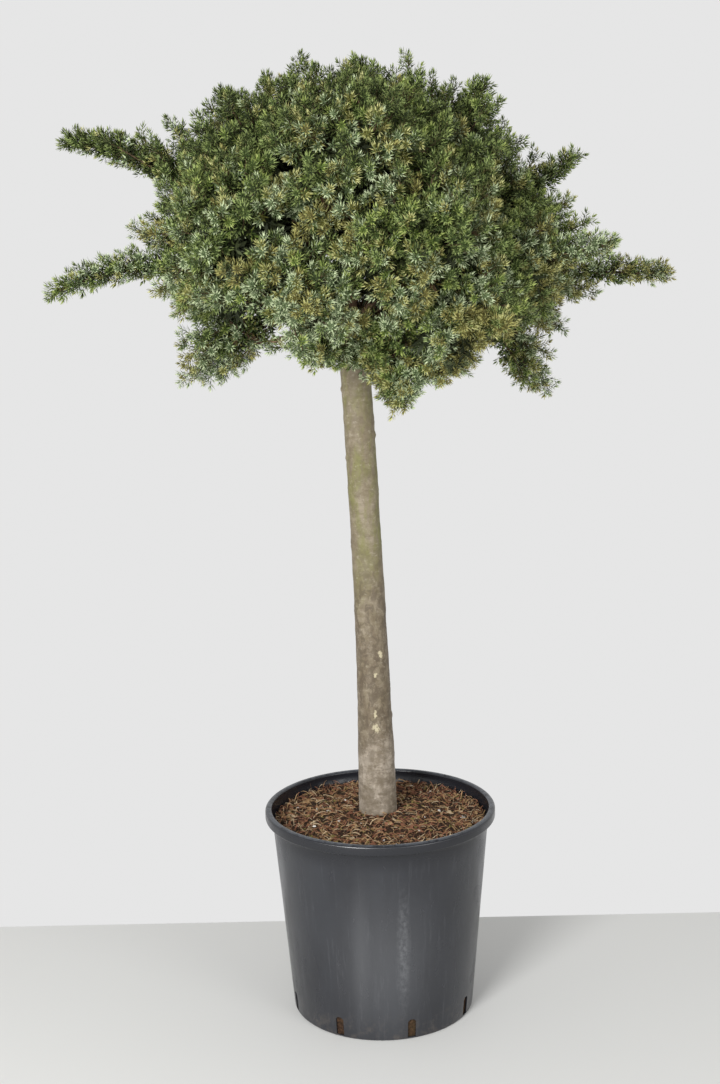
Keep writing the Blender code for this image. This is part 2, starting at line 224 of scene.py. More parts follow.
# How many needles end in a pale face, low on a branchlet and at its tip, and where its tip begins.
# The pale faces at the tips are painted light, partly the needles' own pale bands.
PALE_SHARES = (0.40, 0.85)
TIP_FROM = 0.62
TWIG_RADIUS = 0.0006
# The underside of the crown: at each azimuth, how many mm above the knob's middle the shoots end.
UNDERSIDE = {
    -180: 6, -156: 8, -149: 28, -133: 28, -126: 10, -90: 8, -60: 26, -34: 34, -22: 34, -17: 10,
    -13: -18, 8: -30, 21: -28, 27: -16, 33: -22, 40: -14, 50: -4, 90: -6, 140: -2, 180: 6,
}
# Hollows in the crown: azimuth, rise, half width in degrees, depth in mm.
HOLLOWS = (
    (-90, 2, 18, 38),
    (-94, 29, 10, 44),
    (-76, 20, 9, 26),
    (-118, 7, 12, 34),
    (-48, 8, 9, 14),
    (40, 86, 14, 6),
    (92, 0, 14, 22),
    (56, -14, 14, 50),
)
# Long shoots besides the limbs' own, by the limb that they leave: azimuth, rise, reach in mm.
SPRAYS = {
    "left_upper": ((-93, 38, 404), (-90, 43, 364), (-92, 49, 352)),
    "left_lower": ((-79, 29, 294), (-81, 25, 308), (-88, 12, 252)),
    "right_long": (
        (92, 23, 338), (94, 7, 322), (101, -19, 286), (97, -18, 266),
        (105, -14, 266), (93, -9, 262),
    ),
    "right_upper": ((88, 29, 322),),
    "right_middle": ((84, -1, 272),),
    "left_inner": (
        (-30, 15, 296), (-40, 10, 292), (-22, 20, 290), (-14, -10, 198),
        (-19, -6, 202), (-9, -8, 192), (-16, -12, 176),
    ),
    "left_back": (
        (-95, -16, 240), (-91, -11, 226), (-98, -19, 212), (-88, -4, 226),
        (-100, -16, 184), (-94, -9, 196),
    ),
    "skirt_front": (
        (18, -25, 214), (21, -20, 214), (24, -17, 212), (27, -12, 212),
        (7, -6, 200), (-6, -13, 176), (10, 2, 232), (19, 6, 246),
        (0, 4, 230),
    ),
    "skirt_front_right": (
        (29, -16, 226), (33, -12, 232), (37, -8, 236), (40, -14, 206),
        (35, -18, 196),
    ),
    "top_left": ((-90, 80, 344), (-92, 72, 332), (-94, 58, 334)),
    "top_front": ((-10, 28, 284), (-20, 34, 290)),
    "front_right": ((0, 22, 282),),
    "top_right": ((90, 77, 346), (92, 62, 342)),
}
# Where a limb's stem ends, as a share of its reach: here those that end early.
STEM_ENDS = {
    "top_middle": 0.93,
    "left_inner": 0.74,
    "left_back": 0.86,
    "skirt_right": 0.50,
    "skirt_front": 0.92,
    "skirt_front_left": 0.48,
    "skirt_front_right": 0.66,
    "skirt_left": 0.45,
    "skirt_back_left": 0.48,
    "skirt_back_right": 0.70,
}
OTHER_STEMS_END = 0.97
# Side shoots on the stems outside the dome: their step and thickness, how far they lean out at
# first and at the end of the stem, and how long they are well before its end and at its end, on the
# limbs and on those that hang. Level ones have this share of that length, and upright ones more.
LEADER_STEP = 0.0050
LEADER_RADIUS = 0.0009
LEADER_LEANS = (58, 32)
LEADER_FULL_AT = 0.10
LEADER_WIDTHS = (0.021, 0.011)
SKIRT_WIDTHS = (0.036, 0.024)
LEVEL_SHARE = 0.81
UPWARD_SHARE = 0.34
# How long the branchlets on those side shoots and on the stem itself may be, and how far apart the
# stem's are.
LEADER_LONGEST = 0.018
STEM_LONGEST = 0.017
STEM_STEPS = (0.0032, 0.0030)
# Old needles inside the crown, in two layers: from and to what depth, how far apart, the twig that
# bears them, how many it bears, their length and width. They stay clear of the crown's underside.
OLD_LAYERS = {
    "shaded": (0.040, 0.082, 0.011, 0.026, 16, 0.014, 0.0042),
    "inner": (0.084, 0.150, 0.015, 0.045, 20, 0.018, 0.0058),
}
OLD_CLEAR = 0.028
OLD_LEAN = math.radians(66)
OLD_LEAN_ON_STEM = math.radians(64)
OLD_STEP_ON_STEM = 0.005

# Base colours of a needle's faces: a pale one, only for the faces towards the tip, and a dark one.
# They are lit and shaded copies of each tone: painted light on the tips and painted shade at the
# roots, partly the needles' own pale bands. The shade tone is painted shade deep in the crown.
TONES = {
    "fresh": ((0.31, 0.37, 0.105), (0.085, 0.125, 0.022)),
    "green": ((0.225, 0.285, 0.092), (0.042, 0.066, 0.015)),
    "deep": ((0.140, 0.178, 0.052), (0.024, 0.037, 0.009)),
    "glaucous": ((0.45, 0.52, 0.31), (0.100, 0.140, 0.062)),
    "olive": ((0.44, 0.44, 0.18), (0.130, 0.130, 0.030)),
    "golden": ((0.32, 0.305, 0.100), (0.110, 0.098, 0.026)),
    "shade": ((0.075, 0.092, 0.038), (0.026, 0.033, 0.014)),
    "dead": ((0.26, 0.17, 0.09), (0.12, 0.070, 0.035)),
}
TONE_NAMES = list(TONES)
# How far neighbours on a shoot may differ in tone, and how much the likelier tones are favoured.
TONE_SPREAD = 0.7
TONE_FAVOUR = 1.7


# ---------------------------------------------------------------------------------- small tools


def unit(vectors):
    return vectors / np.linalg.norm(vectors, axis=-1, keepdims=True)


def lumps(points, size, seed):
    """Smooth noise from -1 to 1 at each point, with lumps of about this size."""
    shift = Vector((seed * 7.31, seed * 3.17, seed * 5.71))
    return np.array([noise.noise(Vector(point) / size + shift) for point in points])


def add_object(name, data):
    made = bpy.data.objects.new(name, data)
    bpy.context.scene.collection.objects.link(made)
    return made


def add_mesh(name, parts, looks, smooth=False):
    """A mesh object from parts, joined: corners, then sets of faces on them, each with its look or
    the look of each of its faces."""
    corners, loops, sizes, dealt = [], [], [], []
    first = 0
    for part_corners, *face_sets in parts:
        corners.append(part_corners)
        for faces, look in face_sets:
            loops.append((faces + first).ravel())
            sizes.append(np.full(len(faces), faces.shape[1]))
            dealt.append(np.broadcast_to(look, len(faces)))
        first += len(part_corners)
    corners, loops, sizes, dealt = map(np.concatenate, (corners, loops, sizes, dealt))
    starts = np.cumsum(sizes) - sizes
    data = bpy.data.meshes.new(name)
    data.vertices.add(len(corners))
    data.vertices.foreach_set("co", corners.astype(np.float32).ravel())
    data.loops.add(len(loops))
    data.loops.foreach_set("vertex_index", loops.astype(np.int32))
    data.polygons.add(len(sizes))
    data.polygons.foreach_set("loop_start", starts.astype(np.int32))
    data.polygons.foreach_set("material_index", dealt.astype(np.int32))
    data.polygons.foreach_set("use_smooth", np.full(len(sizes), smooth))
    for look in looks:
        data.materials.append(look)
    data.update(calc_edges=True)
    return add_object(name, data)


def hand_in(piece, slot, *nodes):
    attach(piece, "root")
    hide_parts(*nodes)


def rays(turns):
    """Level directions, turned from +X towards +Y."""
    return np.stack((np.cos(turns), np.sin(turns), np.zeros(len(turns))), 1)


def compass(steps):
    """Level directions all round, from the front to the right."""
    turns = np.arange(steps) * math.tau / steps
    return np.stack((np.sin(turns), -np.cos(turns), np.zeros(steps)), 1)


def bands(rings, steps):
    """The quads between rings of corners that follow each other, each of this many steps."""
    low = np.arange(rings - 1)[:, None] * steps
    side = np.arange(steps)
    following = (side + 1) % steps
    high = low + steps
    return np.stack((low + side, low + following, high + following, high + side), -1).reshape(-1, 4)


def tubes(paths, radii, sides, looks=0):
    """Tubes along the paths (n, points, 3), each ending in a point, as a part for add_mesh."""
    count, length, _ = paths.shape
    along = unit(np.gradient(paths, axis=1))
    reference = np.where(np.abs(along[:, :1, 2:]) > 0.85, BACK, UP)
    side = unit(np.cross(along, np.broadcast_to(reference, along.shape)))[:, :-1, None]
    other = np.cross(along[:, :-1, None], side)
    turns = np.arange(sides)[:, None] * math.tau / sides
    ring = np.cos(turns) * side + np.sin(turns) * other
    rings = paths[:, :-1, None] + ring * radii[:, :-1, None, None]
    corners = np.concatenate((rings.reshape(-1, 3), paths[:, -1]))
    ring_start = (np.arange(count)[:, None] * (length - 1) + np.arange(length - 1)) * sides
    corner = np.arange(sides)
    following = (corner + 1) % sides
    low, high = ring_start[:, :-1, None], ring_start[:, 1:, None]
    quads = np.stack((low + corner, low + following, high + following, high + corner), -1)
    last = ring_start[:, -1:]
    tips = np.broadcast_to(len(corners) - count + np.arange(count)[:, None], (count, sides))
    caps = np.stack((last + corner, last + following, tips), -1)
    looks = np.broadcast_to(looks, count)
    quad_looks, cap_looks = np.repeat(looks, (length - 2) * sides), np.repeat(looks, sides)
    return corners, (quads.reshape(-1, 4), quad_looks), (caps.reshape(-1, 3), cap_looks)


def copies(corners, faces, roots, frames, scale=1.0):
    """The same shape at each of the roots, each in its own frame: (corners, faces)."""
    placed = roots[:, None] + np.einsum("vk,nkj->nvj", corners, frames) * scale
    shifted = faces + (np.arange(len(roots)) * len(corners))[:, None, None]
    return placed.reshape(-1, 3), shifted.reshape(-1, 3)


# --------------------------------------------------------------------------------------- looks


def put(node, sockets):
    """Gives each of these sockets a value, or what another node puts out."""
    for name, value in sockets.items():
        socket = node.inputs[name]
        if isinstance(value, bpy.types.NodeSocket):
            node.id_data.links.new(value, socket)
        else:
            socket.default_value = (*value, 1) if socket.type == "RGBA" else value


def add_node(tree, kind, sockets, **settings):
    made = tree.nodes.new(f"ShaderNode{kind}")
    for name, value in settings.items():
        setattr(made, name, value)
    put(made, sockets)
    return made


def plain(name, colour, roughness, specular=0.5):
    """A Principled material: (material, its nodes and links, its shader)."""
    made = bpy.data.materials.new(name)
    made.use_nodes = True
    shader = made.node_tree.nodes["Principled BSDF"]
    put(shader, {"Base Color": colour, "Roughness": roughness, "Specular IOR Level": specular})
    return made, made.node_tree, shader


def place_of(tree, scale=(1, 1, 1)):
    """Where a point is on the object, stretched."""
    where = add_node(tree, "TexCoord", {}).outputs["Object"]
    return add_node(tree, "Mapping", {"Vector": where, "Scale": scale}).outputs["Vector"]


def cloud(tree, scale, detail=3.0, rough=0.55, distortion=0.0):
    """Noise from 0 to 1 at this many lumps per metre, along x, y and z."""
    where = place_of(tree, scale if isinstance(scale, tuple) else (scale,) * 3)
    sockets = {"Vector": where, "Scale": 1.0, "Detail": detail}
    sockets |= {"Roughness": rough, "Distortion": distortion}
    return add_node(tree, "TexNoise", sockets).outputs["Fac"]


def ramp(tree, factor, low, high):
    """The factor, spread so that low becomes 0 and high becomes 1."""
    sockets = {"Value": factor, "From Min": low, "From Max": high}
    made = add_node(tree, "MapRange", sockets, interpolation_type="SMOOTHSTEP")
    return made.outputs["Result"]


def blotches(tree, low, high, *noise):
    """A cloud, spread so that low becomes 0 and high becomes 1."""
    return ramp(tree, cloud(tree, *noise), low, high)


def blend(tree, factor, one, two):
    """Colour one where the factor is 0, two where it is 1."""
    # The node's inputs 6 and 7 and its output 2 are its colours.
    return add_node(tree, "Mix", {0: factor, 6: one, 7: two}, data_type="RGBA").outputs[2]


def sum_up(tree, operation, value, *others):
    """All of these put together by the same operation, in turn."""
    for other in others:
        value = add_node(tree, "Math", {0: value, 1: other}, operation=operation).outputs[0]
    return value


def layer(tree, under, colour, *masks):
    """The colour over what is under it, where all the masks are 1."""
    return blend(tree, sum_up(tree, "MULTIPLY", *masks), under, colour)


def height_of(tree):
    """The object's own z."""
    split = add_node(tree, "SeparateXYZ", {"Vector": place_of(tree)})
    return split.outputs["Z"]


def near_to(tree, spot, size, ragged, inside=0.95):
    """1 within this distance of the spot, 0 outside it, with a ragged edge."""
    squeeze = tuple(1 / part for part in size)
    middle = tuple(s * q for s, q in zip(spot, squeeze))
    sockets = {0: place_of(tree, squeeze), 1: middle}
    gap = add_node(tree, "VectorMath", sockets, operation="DISTANCE").outputs["Value"]
    worn = sum_up(tree, "MULTIPLY", cloud(tree, 180, 4.0, 0.7), ragged)
    return ramp(tree, sum_up(tree, "ADD", gap, worn), 1.15, inside)


def bump(tree, shader, height, distance, strength=1.0):
    sockets = {"Height": height, "Distance": distance, "Strength": strength}
    put(shader, {"Normal": add_node(tree, "Bump", sockets).outputs["Normal"]})


# Lighter patches on the pot: a painted pool of light on its front, a painted highlight left of the
# middle where the key lamp would reflect, and one crinkled scrape. Each: middle, half size, how
# ragged, where full, strength, crinkled or not.
LIGHT_PATCHES_AND_SCRAPE = (
    ((0.000, -0.130, 0.110), (0.090, 0.08, 0.150), 0.1, 0.05, 0.22, False),
    ((-0.030, -0.132, 0.120), (0.015, 0.04, 0.150), 0.1, 0.05, 0.12, False),
    ((0.0255, -0.133, 0.125), (0.0125, 0.04, 0.130), 0.5, 0.35, 0.42, True),
)


def pot_look():
    """Blue-black moulded plastic, drawn upwards, so that its gloss runs upright. It has painted
    shade on and under the rim, painted sheen in lighter upright bands lower down, a painted pool of
    light on the front, a painted highlight left of the middle and one along the rim's top edge, one
    long crinkled scrape and dust at the foot."""
    made, tree, shader = plain("pot_moulded_plastic", (0.03, 0.031, 0.036), 0.3)
    height = height_of(tree)
    # Painted shade: the rim and a band just under it are darker, fading out lower down.
    clear_of_painted_rim_shade = ramp(tree, height, POT_HEIGHT - 0.020, POT_HEIGHT - 0.046)
    mottle = blotches(tree, 0.3, 0.75, (14, 14, 5), 4.0)
    body = blend(tree, mottle, (0.0165, 0.0175, 0.022), (0.027, 0.029, 0.035))
    body = blend(tree, clear_of_painted_rim_shade, (0.012, 0.013, 0.017), body)
    # Painted sheen: lighter upright bands below the painted shade of the rim.
    painted_sheen_bands = blotches(tree, 0.52, 0.85, (160, 160, 7), 5.0, 0.7)
    body = layer(tree, body, (0.15, 0.155, 0.17), painted_sheen_bands, clear_of_painted_rim_shade, 0.25)
    crinkle = blotches(tree, 0.30, 0.70, (210, 210, 150), 5.0, 0.7)
    # The first two lay painted light over the body, the last a crinkled scrape.
    for *edges, strength, crinkled in LIGHT_PATCHES_AND_SCRAPE:
        masks = [near_to(tree, *edges)] + [crinkle] * crinkled + [strength]
        body = layer(tree, body, (0.20, 0.205, 0.215), *masks)
    # Painted highlight along the rim's top edge, broken up as if worn.
    edge = ramp(tree, height, POT_HEIGHT - 0.0016, POT_HEIGHT - 0.0004)
    worn = blotches(tree, 0.30, 0.60, (90, 90, 20), 4.0, 0.7)
    body = layer(tree, body, (0.075, 0.082, 0.095), edge, worn)
    dust = blotches(tree, 0.45, 0.75, 60, 5.0, 0.7)
    body = layer(tree, body, (0.17, 0.14, 0.11), ramp(tree, height, 0.045, 0.0), dust, 0.35)
    rubbed = blotches(tree, 0.25, 0.8, (40, 40, 18), 5.0, 0.65)
    gloss = add_node(tree, "MapRange", {"Value": rubbed, "To Min": 0.17, "To Max": 0.31})
    put(shader, {"Base Color": body, "Roughness": gloss.outputs["Result"], "Anisotropic": 0.8})
    around = add_node(tree, "Tangent", {}, direction_type="RADIAL", axis="Z")
    put(shader, {"Tangent": around.outputs["Tangent"]})
    bump(tree, shader, cloud(tree, (700, 700, 250), 3.0), 0.00012, 0.3)
    return made


def trunk_look():
    """Smooth grey-brown bark, green with algae above and mottled brown with peeled spots below."""
    made, tree, shader = plain("trunk_smooth_bark", (0.25, 0.21, 0.16), 0.6, 0.35)
    height = height_of(tree)
    rings = blotches(tree, 0.40, 0.62, (60, 60, 150), 6.0, 0.75)
    bark = blend(tree, rings, (0.400, 0.345, 0.280), (0.225, 0.186, 0.140))
    patches = blotches(tree, 0.42, 0.60, (45, 45, 20), 6.0, 0.7)
    bark = layer(tree, bark, (0.150, 0.118, 0.076), patches, 0.60)
    bark = layer(tree, bark, (0.165, 0.133, 0.076), ramp(tree, height, 0.33, 0.42), 0.62)
    algae = blotches(tree, 0.40, 0.62, (38, 38, 13), 5.0, 0.7)
    bark = layer(tree, bark, (0.165, 0.165, 0.046), algae, ramp(tree, height, 0.50, 0.68), 0.75)
    low, high = ramp(tree, height, 0.33, 0.40), ramp(tree, height, 0.64, 0.54)
    brown = sum_up(tree, "MULTIPLY", low, high)
    mottle = blotches(tree, 0.38, 0.62, (75, 75, 42), 6.0, 0.72)
    bark = layer(tree, bark, (0.105, 0.075, 0.048), brown, mottle, 0.70)
    crackle = blotches(tree, 0.47, 0.56, (125, 125, 85), 3.0, 0.6, 0.6)
    strength = sum_up(tree, "ADD", sum_up(tree, "MULTIPLY", brown, 0.30), 0.25)
    bark = layer(tree, bark, (0.080, 0.060, 0.038), crackle, strength)
    pores = blotches(tree, 0.60, 0.72, (120, 120, 420), 4.0, 0.65)
    bark = layer(tree, bark, (0.095, 0.070, 0.045), pores, 0.60)
    flecks = blotches(tree, 0.55, 0.72, (150, 150, 200), 5.0, 0.7)
    bark = layer(tree, bark, (0.42, 0.38, 0.29), flecks, 0.40)
    for spot, size in PEELED:
        bark = layer(tree, bark, (0.55, 0.49, 0.33), near_to(tree, spot, size, 1.5), 0.8)
    put(shader, {"Base Color": bark})
    bump(tree, shader, cloud(tree, (170, 170, 330), 5.0, 0.65), 0.0005, 0.4)
    return made


def bough_look(name, light, dark):
    """Thin red-brown bark that flakes along the limb."""
    made, tree, shader = plain(name, dark, 0.8, 0.25)
    flakes = blotches(tree, 0.35, 0.7, 220, 4.0, 0.65)
    put(shader, {"Base Color": blend(tree, flakes, dark, light)})
    bump(tree, shader, cloud(tree, 420, 3.0), 0.0005, 0.7)
    return made


def soil_look():
    made, tree, shader = plain("potting_mix", (0.09, 0.05, 0.025), 0.95, 0.2)
    fine = blotches(tree, 0.35, 0.7, 240, 5.0, 0.7)
    body = blend(tree, fine, (0.020, 0.011, 0.007), (0.090, 0.048, 0.027))
    coarse = blotches(tree, 0.4, 0.65, 45, 3.0)
    put(shader, {"Base Color": layer(tree, body, (0.075, 0.055, 0.024), coarse, 0.4)})
    bump(tree, shader, cloud(tree, 300, 5.0, 0.7), 0.002, 1.0)
    return made


# --------------------------------------------------------------------------------------- crown


def trunk_point(z):
    """The middle of the trunk at the heights z."""
    z = np.asarray(z, float)
    share = np.maximum(0, z - TRUNK_FOOT[2]) / (KNOB_Z - TRUNK_FOOT[2])
    middle = np.zeros(z.shape + (3,))
    middle[..., :2] = TRUNK_FOOT[:2] + TRUNK_LEAN[:2] * share[..., None] ** LEAN_POWER
    middle[..., 2] = z
    return middle


HUB = trunk_point(KNOB_Z)


def direction(azimuth, rise):
    turn, lift = math.radians(azimuth), math.radians(rise)
    level = math.cos(lift)
    return np.array((math.sin(turn) * level, -math.cos(turn) * level, math.sin(lift)))


def turned_from(ahead, lean, turn):
    """The unit vector that leans away from ahead, turned about it."""
    reference = UP if abs(ahead[2]) < 0.95 else BACK
    side = unit(np.cross(ahead, reference))
    across = side * math.cos(turn) + np.cross(ahead, side) * math.sin(turn)
    return ahead * math.cos(lean) + across * math.sin(lean)


class Limb:
    """One bough with the mass of foliage that it carries, seen from the middle of the knob."""

    def __init__(self, name, azimuth, rise, reach, droop, body):
        self.name = name
        self.aim = direction(azimuth, rise)
        self.reach = reach * MM
        self.droop = droop * MM
        self.body = body * MM
        self.middle = self.point(0.5 * (BOUGH_END + self.body) / self.reach)
        self.axis = unit(self.middle - HUB)
        self.fork = self.point(BOUGH_END / self.reach)
        self.leaves_fork = self.heading(BOUGH_END / self.reach)

    def point(self, share):
        share = np.asarray(share, float)[..., None]
        return HUB + self.aim * self.reach * share - UP * self.droop * share**2.5

    def heading(self, share):
        return unit(self.point(share + 0.01) - self.point(share - 0.01))

    def past_fork(self, place):
        """How far the place lies beyond the end of the bare bough."""
        return float((place - self.fork) @ self.leaves_fork)

    def dome(self, toward):
        """How far from the knob's middle the foliage ends in this direction."""
        angle = math.acos(min(1.0, float(toward @ self.axis)))
        below = math.radians(UNDERSIDE_RISE + UNDERSIDE_TILT * toward[0]) - math.asin(toward[2])
        fall = 1 - DOME_FALL * angle**2
        return self.body * fall * (1 - UNDERSIDE_FALL * max(0, below) ** 2)

    def surface(self, toward):
        """How far from the knob's middle the shoots end in this direction; 0 for no shoot."""
        reach = self.dome(toward) - SHOOT_SHORT
        for azimuth, rise, width, depth in HOLLOWS:
            away = math.acos(min(1.0, float(toward @ direction(azimuth, rise))))
            reach -= depth * MM * math.exp(-((away / math.radians(width)) ** 2))
        level = underside(toward)
        if toward[2] * reach >= level:
            return reach
        return level / toward[2] if level < 0 else 0.0


def underside(toward):
    """How far above the knob's middle the shoots end in this direction."""
    azimuth = math.degrees(math.atan2(toward[0], -toward[1]))
    return float(np.interp(azimuth, list(UNDERSIDE), list(UNDERSIDE.values()))) * MM


def curved(start, leaves, arrives, end, count):
    """Points on a smooth curve from start to end, which leaves and arrives in these directions."""
    pull = np.linalg.norm(end - start) * CURVE_PULL
    three = end - arrives * pull
    two = start + leaves * pull
    share = np.linspace(0, 1, count)[:, None]
    rest = 1 - share
    early = rest**3 * start + 3 * rest**2 * share * two
    return early + 3 * rest * share**2 * three + share**3 * end


class Growth:
    """The twigs, branchlets and old needles of one mass."""

    def __init__(self, limb, chance):
        self.limb = limb
        self.chance = chance
        self.shoots = []
        self.branchlets = []
        self.old = []

    def tint(self, spread):
        """How blue and how warm the next branchlets are."""
        self.blue, self.warm = self.chance.normal(0, spread, 2)

    def add_branchlet(self, root, ahead, length, depth=0.0):
        self.branchlets.append((*root, *ahead, length, depth, self.blue, self.warm))

    def add_shoot(self, path, radius, leafy, longest=SIDE_LONGEST, deep=0.0, spaced=SIDE_STEPS):
        """A shoot along the path with branchlets on its last leafy length, the side ones up to the
        longest and spaced near its end and behind, and with old needles behind them, within this
        distance of the knob's middle."""
        chance = self.chance
        self.shoots.append((path, radius))
        steps = np.linalg.norm(np.diff(path, axis=0), axis=1)
        at = np.concatenate(([0], np.cumsum(steps)))
        whole = at[-1]
        leafy = min(leafy, whole)

        def point(distance):
            return np.array([np.interp(distance, at, path[:, k]) for k in range(3)])

        def heading(distance):
            return unit(point(distance + 0.004) - point(distance - 0.004))

        def graded(distance, near_and_far):
            return np.interp(distance, (0, PLUME_FULL_AT), near_and_far)

        ahead = unit(path[-1] - path[-2])
        behind, length = END_BRANCHLET
        self.add_branchlet(point(whole - behind), ahead, length * chance.uniform(0.9, 1.15))
        back = FIRST_SIDE
        turn = chance.uniform(0, math.tau)
        while back < leafy:
            lean = math.radians(chance.uniform(-8, 8) + graded(back, SIDE_LEANS))
            length = graded(back, (SIDE_SHORTEST, longest))
            out = unit(turned_from(heading(whole - back), lean, turn) + UP * SIDE_LIFT)
            self.add_branchlet(point(whole - back), out, length * chance.uniform(0.82, 1.15), back)
            turn += GOLDEN_ANGLE
            back += graded(back, spaced) * chance.uniform(0.85, 1.15)
        for tier, (first, last, step, *_) in enumerate(OLD_LAYERS.values()):
            for back in np.arange(first, min(whole, last), step):
                root = point(whole - back)
                away = root - HUB
                if away[2] < underside(unit(away)) + OLD_CLEAR or np.linalg.norm(away) > deep:
                    continue
                self.old.append((*root, *turned_from(heading(whole - back), OLD_LEAN, turn), tier))
                turn += GOLDEN_ANGLE

    def shoot_to(self, toward, reach, share, leafy=PLUME_LENGTH):
        """A shoot from this share of the limb's stem to its end in this direction."""
        start = self.limb.point(share)
        tip = HUB + toward * reach
        outward = unit(tip - start)
        aside = turned_from(outward, math.pi / 2, self.chance.uniform(0, math.tau))
        lift = np.interp(toward[2], (0, 0.85), (LIFT_AT_BOTTOM, LIFT_AT_TOP))
        tilt = SHOOT_TILT * self.chance.uniform(0.3, 1.1)
        self.tint(1)
        leaves = unit(outward + self.limb.heading(share) * 0.8)
        path = curved(start, leaves, unit(outward + aside * tilt + UP * lift), tip, SHOOT_POINTS)
        deep = self.limb.surface(toward) - OLD_LAYERS["shaded"][0]
        self.add_shoot(path, SHOOT_RADIUS, leafy, deep=deep)

    def shoot_out(self, toward, nearest, wander):
        """A shoot to the surface of the crown, unless it would end too close to the knob. The
        further it is from the limb's axis, the nearer the knob it leaves the limb's stem."""
        limb = self.limb
        reach = limb.surface(toward)
        if reach < nearest or limb.past_fork(HUB + toward * reach) < FORK_CLEAR:
            return
        out = reach + self.chance.uniform(*SHOOT_OUT) * wander
        lean = math.acos(min(1.0, float(toward @ limb.axis)))
        from_hub = np.linalg.norm(limb.middle - HUB) * (1.15 - 0.5 * lean / SHOOT_SPREAD)
        self.shoot_to(toward, out, min(from_hub, reach * 0.7) / limb.reach)

    def cover_dome(self, other_axes):
        """Shoots over the limb's own part of the crown, by the source's rule, and long shoots."""
        limb = self.limb
        planes = unit(limb.axis - other_axes)
        for number in range(SHOOTS):
            lean = SHOOT_SPREAD * math.sqrt((number + 0.5) / SHOOTS)
            turn = number * GOLDEN_ANGLE + self.chance.uniform(-0.2, 0.2)
            toward = turned_from(limb.axis, lean, turn)
            if (planes @ toward).min() >= -0.01:
                self.shoot_out(toward, BOUGH_END, 1.0)
        for azimuth, rise, reach in SPRAYS.get(limb.name, ()):
            toward, reach = direction(azimuth, rise), reach * MM - SPRAY_SHORT
            share = 0.55 * reach / limb.reach
            self.shoot_to(toward, reach, share, SPRAY_LENGTH)
            for turn in (0, math.pi) if reach < SPRAY_SLENDER else ():
                beside = turned_from(toward, SPRAY_ASIDE / reach, turn)
                self.shoot_to(beside, reach - SPRAY_BEHIND, share)

    def clothe_stem(self):
        """Side shoots on the stem where it comes out of the dome, shorter towards its end, then its
        own branchlets, and old needles further in."""
        limb, chance = self.limb, self.chance
        end = STEM_ENDS.get(limb.name, OTHER_STEMS_END)
        hangs = limb.name.startswith("skirt")
        first = BOUGH_END / limb.reach
        while first < end and not hangs:
            out = limb.point(first) - HUB
            if np.linalg.norm(out) > limb.surface(unit(out)) - CORE_DEPTH:
                break
            first += 0.01
        count = math.ceil((end - first) * limb.reach / LEADER_STEP)
        wide, narrow = SKIRT_WIDTHS if hangs else LEADER_WIDTHS
        for number in range(count):
            along = (number + 0.5) / count
            share = first + (end - first) * along
            self.tint(0.6)
            root, heading = limb.point(share), limb.heading(share)
            lean = math.radians(np.interp(along, (0, 1), LEADER_LEANS))
            ahead = turned_from(heading, lean, number * GOLDEN_ANGLE)
            from_end = (end - share) * limb.reach
            length = np.interp(from_end, (0, LEADER_FULL_AT), (narrow, wide))
            length *= chance.uniform(0.8, 1.2)
            length *= LEVEL_SHARE + UPWARD_SHARE * ahead[2]
            tip = root + unit(ahead + UP * 0.1) * length
            path = curved(root, ahead, unit(ahead + heading * 0.5), tip, 5)
            self.add_shoot(path, LEADER_RADIUS, length * 0.95, LEADER_LONGEST)
        self.blue = self.warm = 0.0
        path = limb.point(np.linspace(first, end + 0.01, 16))
        self.add_shoot(path, STEM_TIP_RADIUS, 1.0, STEM_LONGEST, spaced=STEM_STEPS)
        for share in np.arange(0.085, limb.body - 0.05, OLD_STEP_ON_STEM) / limb.reach:
            turn = chance.uniform(0, math.tau)
            ahead = turned_from(limb.heading(share), OLD_LEAN_ON_STEM, turn)
            place = limb.point(share)
            if place[2] - HUB[2] > underside(unit(place - HUB)) + OLD_CLEAR:
                self.old.append((*place, *ahead, 1))


def fill_gaps(growths, chance):
    """More shoots wherever no branchlet near the surface of the crown is close."""
    rise = np.linspace(-0.4, 1, FILL_DIRECTIONS)
    level = np.sqrt(1 - rise**2)[:, None]
    towards = rays(np.arange(FILL_DIRECTIONS) * GOLDEN_ANGLE) * level + UP * rise[:, None]
    axes = np.array([growth.limb.axis for growth in growths])
    near = np.full(FILL_DIRECTIONS, -1.0)

    def note(branchlets):
        rows = np.array(branchlets)
        middles = rows[:, :3] + unit(rows[:, 3:6]) * rows[:, 6:7] * 0.6 - HUB
        middles = middles[rows[:, 7] < PLUME_LENGTH * 0.8]
        near[:] = np.maximum(near, (towards @ unit(middles).T).max(1))

    for growth in growths:
        growth.chance = chance
        note(growth.branchlets)
    for number in chance.permutation(FILL_DIRECTIONS):
        toward = towards[number]
        if near[number] > math.cos(GAP_ANGLE):
            continue
        growth = growths[int((axes @ toward).argmax())]
        before = len(growth.branchlets)
        growth.shoot_out(toward, BOUGH_END * 1.3, 0.5)
        if len(growth.branchlets) > before:
            note(growth.branchlets[before:])
        near[number] = 1.0


def needles_on_twig(heights, leans, turns, lengths, width, off=0.0):
    """Needles on a twig along +Z, each leaning out from it. A needle has two triangles that meet,
    bent, where it is widest. The first is at its root and the second at its tip: (corners,
    faces)."""
    out, leans, lengths = rays(turns), leans[:, None], lengths[:, None]
    roots = UP * heights[:, None] + out * off
    aheads = UP * np.cos(leans) + out * np.sin(leans)
    uppers = UP * np.sin(leans) - out * np.cos(leans)
    sides = np.cross(aheads, uppers) * width / 2
    widest = roots + aheads * lengths * WIDEST_AT - uppers * lengths * NEEDLE_BEND
    tips = roots + aheads * lengths + uppers * lengths * NEEDLE_BEND
    corners = np.stack((roots, widest + sides, widest - sides, tips), 1).reshape(-1, 3)
    first = np.arange(len(roots))[:, None, None] * 4
    return corners, (first + np.array(((0, 1, 2), (1, 3, 2)))).reshape(-1, 3)


